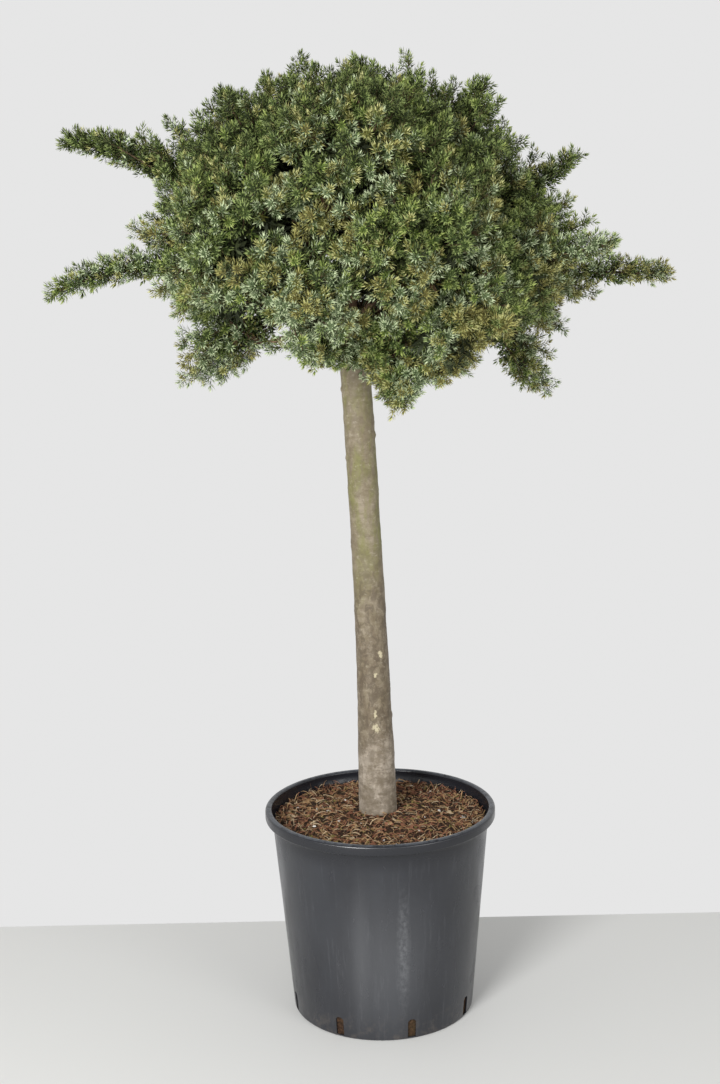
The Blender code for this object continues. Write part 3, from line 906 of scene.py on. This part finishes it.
def branchlet_template(length, chance, sparse=False):
    """Needles in whorls on a short twig along +Z that bends towards +X: the corners, the faces, and
    for each face whether it is a dark one and whether its needle is near the tip of the twig."""
    needles, dark = [], []

    def add_needle(height, lean, turn, size, share):
        needles.append((height, lean, turn, NEEDLE_LENGTH * size, share > TIP_FROM))
        # The root face of every needle is dark, painted shade; the tip face is pale by chance, more
        # often towards the branchlet's tip, painted light.
        dark.extend((True, chance.random() > np.interp(share, (0.2, 1), PALE_SHARES)))

    height, turn = FIRST_WHORL, 0.0
    low_lean, wide_lean, tip_lean = WHORL_LEANS
    while height < length:
        into = (height - length + ROSETTE) / ROSETTE
        for third in range(2 if sparse else 3):
            lean = low_lean if into < 0 else wide_lean + (tip_lean - wide_lean) * into
            lean = math.radians(lean + chance.uniform(-9, 9))
            angle = turn + third * math.tau / 3 + chance.uniform(-0.16, 0.16)
            size = chance.uniform(0.85, 1.12) * (1 - 0.14 * max(0, into))
            add_needle(height, lean, angle, size, height / length)
        height += WHORL_STEPS[0] if into < 0 or sparse else WHORL_STEPS[1]
        turn += WHORL_TWIST
    for number in range(2 if sparse else 4):
        lean = math.radians(chance.uniform(6, 30))
        add_needle(length, lean, number * GOLDEN_ANGLE, 0.78, 1.0)
    *form, at_tip = np.array(needles).T
    width = SPARSE_WIDTH if sparse else NEEDLE_WIDTH
    corners, faces = needles_on_twig(*form, width, TWIG_RADIUS * 0.6)
    corners[:, 0] += 0.15 * corners[:, 2] ** 2 / length
    return corners, faces, np.array(dark, int), np.repeat(at_tip > 0, 2)


def old_template(size, count, length, width, chance):
    """Sparse long needles on old wood inside the crown: (corners, faces)."""
    heights = np.linspace(0.002, size, count)
    leans = np.radians(chance.uniform(40, 75, count))
    lengths = length * chance.uniform(0.8, 1.2, count)
    return needles_on_twig(heights, leans, np.arange(count) * GOLDEN_ANGLE, lengths, width)


def frames_of(ahead, roll):
    """For each branchlet its x, y and z, with x turned by roll from as near to up as it can be."""
    flat = UP - ahead * ahead[:, 2:3]
    weak = np.linalg.norm(flat, axis=1) < 0.05
    flat[weak] = np.cross(ahead[weak], BACK)
    flat = unit(flat)
    other = np.cross(ahead, flat)
    x = flat * np.cos(roll)[:, None] + other * np.sin(roll)[:, None]
    return np.stack((x, np.cross(ahead, x), ahead), 1)


def pick(weights, draw):
    """For each row the index that the draw from 0 to 1 falls on, the likelier ones favoured."""
    weights = weights**TONE_FAVOUR
    heap = np.cumsum(weights / weights.sum(1, keepdims=True), axis=1)
    return np.minimum((draw[:, None] > heap).sum(1), weights.shape[1] - 1)


def tones_of(roots, depth, blue, warm, chance):
    """The tone of each branchlet's needles and of the needles at its tip: greener and fresher on
    top but also darker there, partly their own deep green and partly painted shade, bluer and more
    golden below, in patches, and darker inside, with painted shade. The weights of the tones stand
    in the order of TONES."""
    low, high = cad_hi.z - 0.42, cad_hi.z - 0.03
    rise = np.clip((roots[:, 2] - low) / (high - low), 0, 1)
    right = np.clip((roots[:, 0] - HUB[0]) / 0.3, -1, 1)
    blue = blue * 0.6 + lumps(roots, 0.085, 1) * 1.3
    warm = warm * 0.6 + lumps(roots, 0.06, 2) * 1.2
    ones = np.ones(len(roots))
    inside = np.clip((depth - 0.034) / 0.03, 0, 1)
    # The deep tone grows commoner higher up and the shade tone deeper in: painted shade on the top
    # and inside the crown.
    body = np.array(
        (
            0.08 + 0.22 * rise * np.clip(0.6 + warm, 0, 2),
            0.55 + 0.55 * rise * np.clip(1 - blue, 0.2, 2),
            0.05 + 3.1 * rise**1.8,
            (1.35 - 1.15 * rise) * np.clip(1 + blue, 0.15, 2.2),
            0.30 + 0.45 * np.clip(warm, 0, 2) * (1.2 - rise) + 0.15 * np.clip(right, 0, 1),
            0.03 * ones,
            0.18 + 1.8 * inside,
            0.015 + 0.04 * inside,
        )
    ).T
    tip = np.array(
        (
            0.28 + 0.40 * rise * np.clip(1 + warm, 0.2, 2),
            0.40 + 0.60 * rise,
            0.02 + 1.7 * rise**1.8,
            (0.95 - 0.85 * rise) * np.clip(1 + blue, 0.2, 2),
            0.45 + 0.25 * np.clip(warm, 0, 1),
            (0.52 - 0.46 * rise) * np.clip(0.7 + warm + 0.5 * right, 0.05, 2.5),
            0.02 * ones,
            0.02 * (1.1 - rise),
        )
    ).T
    # Neighbours on a shoot have tones that lie close together.
    patch = warm + 0.5 * blue + lumps(roots, 0.03, 3)
    spread = [chance.normal(0, TONE_SPREAD, len(roots)) for _ in range(2)]
    draws = [(patch + shift).argsort().argsort() / len(roots) for shift in spread]
    return [pick(weights, draw) for weights, draw in zip((body, tip), draws)]


def needle_parts(growths, templates, chance):
    """Every needle of these masses, as parts for add_mesh."""
    rows = np.array([row for growth in growths for row in growth.branchlets])
    roots, ahead, (length, depth, blue, warm) = rows[:, :3], unit(rows[:, 3:6]), rows[:, 6:].T
    body, tip = tones_of(roots, depth, blue, warm, chance)
    frames = frames_of(ahead, chance.normal(0, 0.9, len(rows)))
    sizes, sparse, shapes = zip(*templates)
    unlike = np.abs(length[:, None] / sizes - 1)
    unlike += np.array(sparse) != (depth > SPARSE_FROM)[:, None]
    chosen = unlike.argsort(1)[:, :2]
    chosen = chosen[np.arange(len(rows)), chance.integers(0, 2, len(rows))]
    parts = []
    for number, (corners, faces, dark, near_tip) in enumerate(shapes):
        mine = np.flatnonzero(chosen == number)
        if not len(mine):
            continue
        scale = (length[mine] / sizes[number])[:, None, None]
        tone = np.where(near_tip, tip[mine, None], body[mine, None]) * 2 + dark
        corners, faces = copies(corners, faces, roots[mine], frames[mine], scale)
        parts.append((corners, (faces, tone.ravel())))
    old = np.array([row for growth in growths for row in growth.old])
    shade, dead = TONE_NAMES.index("shade") * 2, TONE_NAMES.index("dead") * 2
    for tier, (_, _, _, *form) in enumerate(OLD_LAYERS.values()):
        mine = old[old[:, 6] == tier]
        corners, faces = old_template(*form, chance)
        frames = frames_of(unit(mine[:, 3:6]), chance.uniform(0, math.tau, len(mine)))
        tone = shade + (chance.random(len(mine)) < 0.4 + 0.6 * tier)
        tone = np.where(chance.random(len(mine)) < 0.02, dead + 1, tone)
        tone = np.repeat(tone, len(faces))
        corners, faces = copies(corners, faces, mine[:, :3], frames)
        parts.append((corners, (faces, tone)))
    return parts


def twig_parts(growths):
    """The twigs that bear the needles: the shoots, and one short twig in each branchlet."""
    shoots = [shoot for growth in growths for shoot in growth.shoots]
    parts = []
    for count in sorted({len(path) for path, _ in shoots}):
        paths, thick = zip(*[shoot for shoot in shoots if len(shoot[0]) == count])
        radii = np.array(thick)[:, None] * np.linspace(1.15, 0.5, count)
        parts.append(tubes(np.array(paths), radii, 4))
    rows = np.array([row for growth in growths for row in growth.branchlets])
    roots, ahead, length = rows[:, :3], unit(rows[:, 3:6]), rows[:, 6:7]
    paths = np.stack((roots, roots + ahead * length * 0.9), 1)
    parts.append(tubes(paths, np.full((len(rows), 2), TWIG_RADIUS), 3, 1))
    return parts


def limb_part(limb):
    """The bough from inside the knob, with lumpy relief, and its stem to the leader's tip."""
    rings, sides = 50, 8
    first = KNOB_RADIUS * 0.6 / limb.reach
    last = STEM_ENDS.get(limb.name, 0.975) + 0.01
    share = first + (last - first) * np.linspace(0, 1, rings) ** 1.1
    path = limb.point(share)
    out = (0, KNOB_RADIUS * 1.15, BOUGH_END * 0.5, BOUGH_END, limb.reach)
    radii = [BOUGH_BASE_RADIUS * swell for swell in BOUGH_SWELLS]
    radii += [BOUGH_TIP_RADIUS, STEM_TIP_RADIUS]
    radius = np.interp(share * limb.reach, out, radii)
    corners, *faces = tubes(path[None], radius[None], sides)
    middle = np.concatenate((np.repeat(path[:-1], sides, axis=0), path[-1:]))
    relief = 1 + 0.16 * lumps(corners, 0.004, 3) + 0.12 * lumps(corners, 0.012, 4)
    return middle + (corners - middle) * relief[:, None], *faces


# --------------------------------------------------------------------------------- trunk and pot

# The trunk's knots: azimuth from the front in degrees, height, how far it stands out, half width.
KNOTS = (
    (-84, 0.846, 0.0022, 0.0040),
    (-80, 0.756, 0.0020, 0.0038),
    (78, 0.786, 0.0026, 0.0042),
    (-8, 0.806, 0.0010, 0.0055),
    (96, 0.405, 0.0018, 0.0045),
    (150, 0.60, 0.0024, 0.0045),
    (-140, 0.70, 0.0022, 0.0042),
    (172, 0.83, 0.0024, 0.0040),
)
# The heights of its old nodes, and its peeled spots: middle, half size.
NODE_RINGS = (0.352, 0.445, 0.553, 0.640, 0.712, 0.806, 0.868)
PEELED = (
    ((0.004, -0.012, 0.494), (0.009, 0.03, 0.014)),
    ((-0.003, -0.012, 0.466), (0.007, 0.03, 0.009)),
    ((-0.004, -0.013, 0.392), (0.013, 0.03, 0.015)),
    ((-0.004, -0.013, 0.410), (0.006, 0.03, 0.018)),
)


def trunk_radius(z):
    share = (z - TRUNK_FOOT[2]) / (KNOB_Z - TRUNK_FOOT[2])
    stem = TRUNK_TOP_RADIUS + TRUNK_TAPER * (1 - share)
    stem = stem + ROOT_FLARE * np.exp(-(((z - TRUNK_FOOT[2]) / FLARE_HEIGHT) ** 2))
    ball = np.sqrt(np.maximum(0, KNOB_RADIUS**2 - (z - KNOB_Z) ** 2))
    return np.where(z < KNOB_Z, np.maximum(ball, stem), ball)


def make_trunk():
    sides, step = 64, 0.0028
    heights = np.arange(TRUNK_FOOT[2] - TRUNK_SUNK, KNOB_Z + KNOB_RADIUS * 0.9, step)
    turns = np.arange(sides) * math.tau / sides
    middle = trunk_point(heights)[:, None]
    outward = compass(sides)
    radius = trunk_radius(np.maximum(heights, TRUNK_FOOT[2]))[:, None] * np.ones(sides)
    base = (middle + outward * radius[..., None]).reshape(-1, 3)
    stretched = base * np.array((1, 1, 5))
    relief = 0.0007 * lumps(base, 0.045, 1) + 0.00045 * lumps(base, 0.014, 2)
    relief = relief + 0.00014 * lumps(stretched, 0.014, 3) + 0.00004 * lumps(stretched, 0.005, 4)
    relief = relief.reshape(radius.shape)
    for ring in NODE_RINGS:
        above = heights[:, None] - ring - 0.004 * lumps(outward * 0.02, 0.02, ring * 10)
        relief += 0.0006 * np.exp(-((above / 0.006) ** 2))
        relief -= 0.0004 * np.exp(-((above / 0.0014) ** 2))
    for azimuth, height, out, wide in KNOTS:
        across = (np.angle(np.exp(1j * (turns - math.radians(azimuth)))) * radius) / wide
        along = (heights[:, None] - height) / (wide * 0.8)
        away = across**2 + along**2
        relief += out * np.exp(-away) - out * 0.55 * np.exp(-away * 9)
    corners = (middle + outward * (radius + relief)[..., None]).reshape(-1, 3)
    knob = np.abs(corners[:, 2] - KNOB_Z) < KNOB_RADIUS * 1.2
    swell = 0.0018 * lumps(corners[knob], 0.011, 6)
    heart = trunk_point(corners[knob, 2])
    corners[knob] += unit(corners[knob] - heart + UP * 1e-6) * swell[:, None]
    corners = np.vstack((corners, trunk_point(heights[-1] + 0.0012), trunk_point(heights[0])))
    side = np.arange(sides)
    following = (side + 1) % sides
    last = (len(heights) - 1) * sides
    top = np.stack((last + side, last + following, np.full(sides, len(corners) - 2)), 1)
    foot = np.stack((following, side, np.full(sides, len(corners) - 1)), 1)
    part = (corners, (bands(len(heights), sides), 0), (top, 0), (foot, 0))
    made = add_mesh("trunk_with_bark", [part], [trunk_look()], smooth=True)
    hand_in(made, "trunk_bark", "trunk")


def wall_radius(z):
    under_rim = POT_HEIGHT - RIM_DEPTH
    return FOOT_RADIUS + (BODY_TOP_RADIUS - FOOT_RADIUS) * np.minimum(z, under_rim) / under_rim


def arc(middle_radius, middle_height, size, first, last, count):
    turns = np.radians(np.linspace(first, last, count))
    return [(middle_radius + size * math.cos(t), middle_height + size * math.sin(t)) for t in turns]


def make_pot():
    under_rim = POT_HEIGHT - RIM_DEPTH
    inner_rim = RIM_RADIUS - RIM_WIDTH
    wall_top = float(wall_radius(under_rim))
    lip, heel, outer_roll, inner_roll = 0.0024, 0.003, 0.0042, 0.0030
    outside = np.linspace(heel, under_rim - 0.001, 34)[1:]
    inside = np.linspace(under_rim - 0.03, WALL, 12)
    profile = [
        (0.0005, 0.0),
        (FOOT_RADIUS - 0.020, 0.0),
        *arc(wall_radius(heel) - heel, heel, heel, -90, 0, 6),
        *[(float(wall_radius(z)), z) for z in outside],
        (wall_top + 0.0006, under_rim - 0.0002),
        *arc(RIM_RADIUS - lip, under_rim + lip, lip, -80, 0, 6),
        (RIM_RADIUS, under_rim + RIM_DEPTH * 0.5),
        *arc(RIM_RADIUS - outer_roll, POT_HEIGHT - outer_roll, outer_roll, 0, 90, 8),
        *arc(inner_rim + inner_roll, POT_HEIGHT - inner_roll, inner_roll, 90, 180, 6),
        (inner_rim, under_rim + lip),
        (wall_top - WALL, under_rim - lip),
        *[(float(wall_radius(z)) - WALL, z) for z in inside],
        (0.0005, WALL),
    ]
    steps = 176
    radius, height = np.array(profile).T[:, :, None, None]
    corners = (compass(steps) * radius + UP * height).reshape(-1, 3)
    away = corners * np.array((1, 1, 0))
    reach = np.maximum(np.linalg.norm(away, axis=1, keepdims=True), 0.01)
    swell = POT_WAVES * lumps(corners * np.array((1, 1, 0.5)), 0.07, 5)[:, None]
    part = (corners + away / reach * swell, (bands(len(profile), steps), 0))
    pot = add_mesh("nursery_pot", [part], [pot_look()], smooth=True)

    cutter = slot_cutter()
    cut = pot.modifiers.new("slots", "BOOLEAN")
    cut.operation = "DIFFERENCE"
    cut.object = cutter
    cut.solver = "EXACT"
    bpy.context.view_layer.update()
    graph = bpy.context.evaluated_depsgraph_get()
    data = bpy.data.meshes.new_from_object(pot.evaluated_get(graph))
    pot.modifiers.clear()
    pot.data = data
    bpy.data.objects.remove(cutter)
    data.set_sharp_from_angle(angle=math.radians(38))
    hand_in(pot, "pot_plastic", "pot")


def slot_cutter():
    """One mesh of blocks with cut top corners, through the wall at each slot."""
    deep, cut = 0.009, 0.003
    half = SLOT_WIDTH / 2
    outline = [(-half, SLOT_BOTTOM), (half, SLOT_BOTTOM), (half, SLOT_TOP - cut)]
    outline += [(half - cut, SLOT_TOP), (cut - half, SLOT_TOP), (-half, SLOT_TOP - cut)]
    count = len(outline)
    inner = np.arange(count)
    after = (inner + 1) % count
    corners, faces = [], []
    for number in range(SLOT_COUNT):
        turn = math.radians(SLOT_FIRST_DEG + number * 360 / SLOT_COUNT)
        outward = np.array((math.sin(turn), -math.cos(turn), 0))
        along = np.array((math.cos(turn), math.sin(turn), 0))
        first = len(corners)
        for reach in (FOOT_RADIUS - deep, FOOT_RADIUS + deep):
            corners += [outward * reach + along * wide + UP * high for wide, high in outline]
        sides = np.stack((inner, after, count + after, count + inner), 1)
        for face in (*sides, inner[::-1], count + inner):
            faces.append([int(corner) for corner in first + face])
    data = bpy.data.meshes.new("slot_cutter")
    data.from_pydata([tuple(corner) for corner in corners], [], faces)
    return add_object("slot_cutter", data)


# ---------------------------------------------------------------------------------------- soil

# Base colours of what lies on the soil.
MIX_COLOURS = {
    "fibre_gold": (0.36, 0.23, 0.115),
    "fibre_red": (0.235, 0.105, 0.060),
    "fibre_pale": (0.47, 0.36, 0.23),
    "chip_dark": (0.040, 0.022, 0.014),
    "chip_brown": (0.19, 0.095, 0.045),
    "chip_olive": (0.21, 0.175, 0.055),
    "perlite": (0.80, 0.78, 0.72),
}
PERLITE_CHIPS = 26
# How far the soil stays off the pot.
SOIL_GAP = 0.0004


def soil_radius():
    return float(wall_radius(SOIL_EDGE_Z)) - WALL


def soil_height(x, y):
    """The top of the soil: highest round the trunk, and uneven."""
    away = np.hypot(x, y)
    edge = soil_radius()
    mound = SOIL_EDGE_Z + 0.005 * np.clip(1.15 - away / edge, 0, 1)
    points = np.stack((x, y, np.zeros_like(x)), -1).reshape(-1, 3)
    uneven = 0.0022 * lumps(points, 0.035, 8) + 0.0013 * lumps(points, 0.012, 9)
    return mound + uneven.reshape(x.shape) * np.clip((edge - away) / 0.012, 0.2, 1)


def make_soil():
    steps = 150
    outward = compass(steps)
    top = np.linspace(0.004, soil_radius() - SOIL_GAP, 44)[:, None, None] * outward
    top[..., 2] = soil_height(top[..., 0], top[..., 1])
    side_z = np.linspace(SOIL_EDGE_Z - 0.004, WALL + SOIL_GAP, 14)[:, None, None]
    sides = (wall_radius(side_z) - WALL - 0.0006) * outward + side_z * UP
    corners = np.concatenate((top, sides))
    quads = bands(len(corners), steps)[:, (1, 0, 3, 2)]
    part = (corners.reshape(-1, 3), (quads, 0))
    body = add_mesh("soil_body", [part], [soil_look()], smooth=True)
    hand_in(body, "potting_soil", "soil")


def scattered(chance, count, inner=0.0):
    """Places on the soil, clear of the trunk and at least this share of its radius out."""
    edge = soil_radius() - SOIL_GAP
    outer = edge - 0.002
    away = np.sqrt(chance.uniform((inner * edge / outer) ** 2, 1, count)) * outer
    turn = chance.uniform(0, math.tau, count)
    x, y = away * np.sin(turn), -away * np.cos(turn)
    clear = np.hypot(x - TRUNK_FOOT[0], y - TRUNK_FOOT[1]) > 0.026
    x, y = x[clear], y[clear]
    return np.stack((x, y, soil_height(x, y)), -1)


def curly_fibres(chance, roots, tall):
    """Bent fibres, as a part for add_mesh. The taller, the more steeply they may stand."""
    count = len(roots)
    turn = chance.uniform(0, math.tau, count)
    level = np.stack((np.sin(turn), np.cos(turn), np.zeros(count)), 1)
    ahead = unit(level + UP * chance.uniform(-0.05, tall, count)[:, None])
    size = chance.uniform(0.006, 0.017, count)[:, None]
    curl = np.cross(ahead, UP) * chance.normal(0, 0.45, count)[:, None]
    share = np.linspace(0, 1, 4)[None, :, None]
    path = roots[:, None] + ahead[:, None] * size[:, None] * share
    path = path + curl[:, None] * size[:, None] * share**2
    path[..., 2] += np.sin(share[..., 0] * math.pi) * size * 0.18 + 0.0002
    away = np.hypot(path[..., 0], path[..., 1])
    path[..., :2] *= np.minimum(1, (soil_radius() - SOIL_GAP - 0.0015) / away)[..., None]
    radii = np.broadcast_to(chance.uniform(0.00028, 0.0007, count)[:, None], (count, 4))
    return tubes(path, radii, 3, chance.choice(4, count, p=(0.30, 0.36, 0.12, 0.22)))


def bark_chips(chance, roots):
    """Uneven flat blocks, as a part for add_mesh. The first few are grains of perlite."""
    count = len(roots)
    block = np.array([(x, y, z) for x in (-1, 1) for y in (-1, 1) for z in (-1, 1)], float)
    faces = ((0, 1, 3, 2), (4, 6, 7, 5), (0, 4, 5, 1), (2, 3, 7, 6), (0, 2, 6, 4), (1, 5, 7, 3))
    long = chance.uniform(0.0010, 0.0042, count)
    wide, thick = long * chance.uniform(0.3, 0.7, count), long * chance.uniform(0.12, 0.4, count)
    size = np.stack((long, wide, thick), 1)[:, None]
    shape = block * size * chance.uniform(0.6, 1.15, (count, 8, 3))
    turn, tip = chance.uniform(0, math.tau, count), chance.normal(0, 0.5, count)
    x = np.stack((np.cos(turn) * np.cos(tip), np.sin(turn) * np.cos(tip), np.sin(tip)), 1)
    y = unit(np.cross(UP, x))
    basis = np.stack((x, y, np.cross(x, y)), 1)
    corners = roots[:, None] + UP * 0.0006 + np.einsum("nvk,nkj->nvj", shape, basis)
    faces = np.array(faces) + (np.arange(count) * 8)[:, None, None]
    look = chance.choice(6, count, p=(0.10, 0.16, 0.06, 0.26, 0.30, 0.12))
    look[:PERLITE_CHIPS] = 6
    return corners.reshape(-1, 3), (faces.reshape(-1, 4), np.repeat(look, 6))


def make_mix():
    """Fibres that lie on the soil, a few that stand at its edge, and chips of bark."""
    chance = np.random.default_rng(SEED + 500)
    parts = []
    for count, tall, inner in ((2300, 0.35, 0.0), (300, 1.6, 0.8)):
        parts.append(curly_fibres(chance, scattered(chance, count, inner), tall))
    parts.append(bark_chips(chance, scattered(chance, 1700)))
    looks = [plain(f"mix_{name}", tint, 0.85, 0.25)[0] for name, tint in MIX_COLOURS.items()]
    mix = add_mesh("soil_fibres_and_chips", parts, looks)
    hand_in(mix, "potting_soil", "soil")


# ---------------------------------------------------------------------------------------- build


def make_crown():
    limbs = [Limb(name, *sizes) for name, sizes in CROWN.items()]
    growths = []
    for number, limb in enumerate(limbs):
        growth = Growth(limb, np.random.default_rng(SEED + number))
        growth.cover_dome(np.array([other.axis for other in limbs if other is not limb]))
        growth.clothe_stem()
        growths.append(growth)
    fill_gaps(growths, np.random.default_rng(SEED + 90))
    chance = np.random.default_rng(SEED + 100)
    templates = []
    for sparse in (False, False, True, True):
        for size in BRANCHLET_LENGTHS:
            templates.append((size, sparse, branchlet_template(size, chance, sparse)))
    needle_looks = []
    # The pale _upper material of each tone goes on faces towards the needles' tips, painted light,
    # and the dark _lower one on faces at their roots and on all-dark needles, painted shade.
    for name, (pale, dark) in TONES.items():
        needle_looks.append(plain(f"needle_{name}_upper", pale, 0.55, 0.35)[0])
        needle_looks.append(plain(f"needle_{name}_lower", dark, 0.60, 0.20)[0])
    twig_looks = [
        bough_look("shoot_bark", (0.13, 0.085, 0.05), (0.06, 0.038, 0.022)),
        plain("twig_bark", (0.10, 0.085, 0.035), 0.7, 0.3)[0],
    ]
    limb_look = bough_look("bough_flaking_bark", (0.27, 0.18, 0.11), (0.12, 0.07, 0.04))
    by_name = {growth.limb.name: growth for growth in growths}
    for name, members in PARTS_OF_CROWN.items():
        grown = [by_name[member] for member in members]
        nodes = [f"foliage_{member}" for member in members]
        chance = np.random.default_rng(SEED + 212 + len(name))
        needles = add_mesh(f"needles_{name}", needle_parts(grown, templates, chance), needle_looks)
        hand_in(needles, "juniper_foliage", *nodes)
        twigs = add_mesh(f"twigs_{name}", twig_parts(grown), twig_looks)
        hand_in(twigs, "juniper_foliage", *nodes)
        parts = [limb_part(limb) for limb in limbs if limb.name in members]
        boughs = add_mesh(f"boughs_{name}", parts, [limb_look], smooth=True)
        hand_in(boughs, "bough_bark", *[f"bough_{member}" for member in members])


# -------------------------------------------------------------------------------- camera, light

# The camera of the photo, fitted to the marks of its ruler and to the pot's rim and foot.
CAMERA_PLACE = (-0.02, -1.9661, 0.9906)
CAMERA_PITCH = math.radians(9.981)
CAMERA_ROLL = math.radians(1.1736)
FOCAL_PIXELS = 1513
LONG_SIDE_PIXELS = 1084


def make_camera():
    data = bpy.data.cameras.new("camera")
    data.sensor_width = 36
    data.lens = FOCAL_PIXELS * data.sensor_width / LONG_SIDE_PIXELS
    camera = add_object("camera", data)
    ahead = Vector((0, math.cos(CAMERA_PITCH), -math.sin(CAMERA_PITCH)))
    above = Vector((0, math.sin(CAMERA_PITCH), math.cos(CAMERA_PITCH)))
    right = Vector((1, 0, 0))
    turned_right = right * math.cos(CAMERA_ROLL) - above * math.sin(CAMERA_ROLL)
    turned_up = right * math.sin(CAMERA_ROLL) + above * math.cos(CAMERA_ROLL)
    place = Matrix((turned_right, turned_up, -ahead)).transposed().to_4x4()
    place.translation = CAMERA_PLACE
    camera.matrix_world = place
    bpy.context.scene.camera = camera


def add_lamp(name, place, aim, size, power):
    data = bpy.data.lights.new(name, "AREA")
    data.shape = "DISK"
    data.size = size
    data.energy = power
    lamp = add_object(name, data)
    lamp.location = place
    lamp.rotation_euler = (Vector(aim) - Vector(place)).to_track_quat("-Z", "Y").to_euler()


# The world's light: from the walls and below, and from above, where the ceiling is less bright.
WALL_LIGHT = (0.79, 0.79, 0.79)
CEILING_LIGHT = (0.40, 0.40, 0.40)


def make_studio():
    look = plain("studio_floor", (0.775, 0.775, 0.755), 0.6, 0.2)[0]
    corners = np.array(((-4, -5, 0), (4, -5, 0), (4, 0.26, 0), (-4, 0.26, 0)), float)
    floor = add_mesh("floor", [(corners, (np.array(((0, 1, 2, 3),)), 0))], [look])
    world = bpy.data.worlds.new("studio")
    world.use_nodes = True
    tree = world.node_tree
    sky = add_node(tree, "TexCoord", {}).outputs["Generated"]
    up = add_node(tree, "SeparateXYZ", {"Vector": sky}).outputs["Z"]
    light = blend(tree, ramp(tree, up, 0.30, 0.75), WALL_LIGHT, CEILING_LIGHT)
    put(tree.nodes["Background"], {"Color": light, "Strength": 1.0})
    bpy.context.scene.world = world
    add_lamp("key", (-1.3, -2.6, 1.5), (0, 0, 0.95), 1.1, 88)
    add_lamp("fill", (1.9, -2.2, 1.3), (0, 0, 0.7), 1.4, 18)
    bpy.context.scene.view_settings.view_transform = "Standard"


make_camera()
make_studio()
make_pot()
make_soil()
make_mix()
make_trunk()
make_crown()
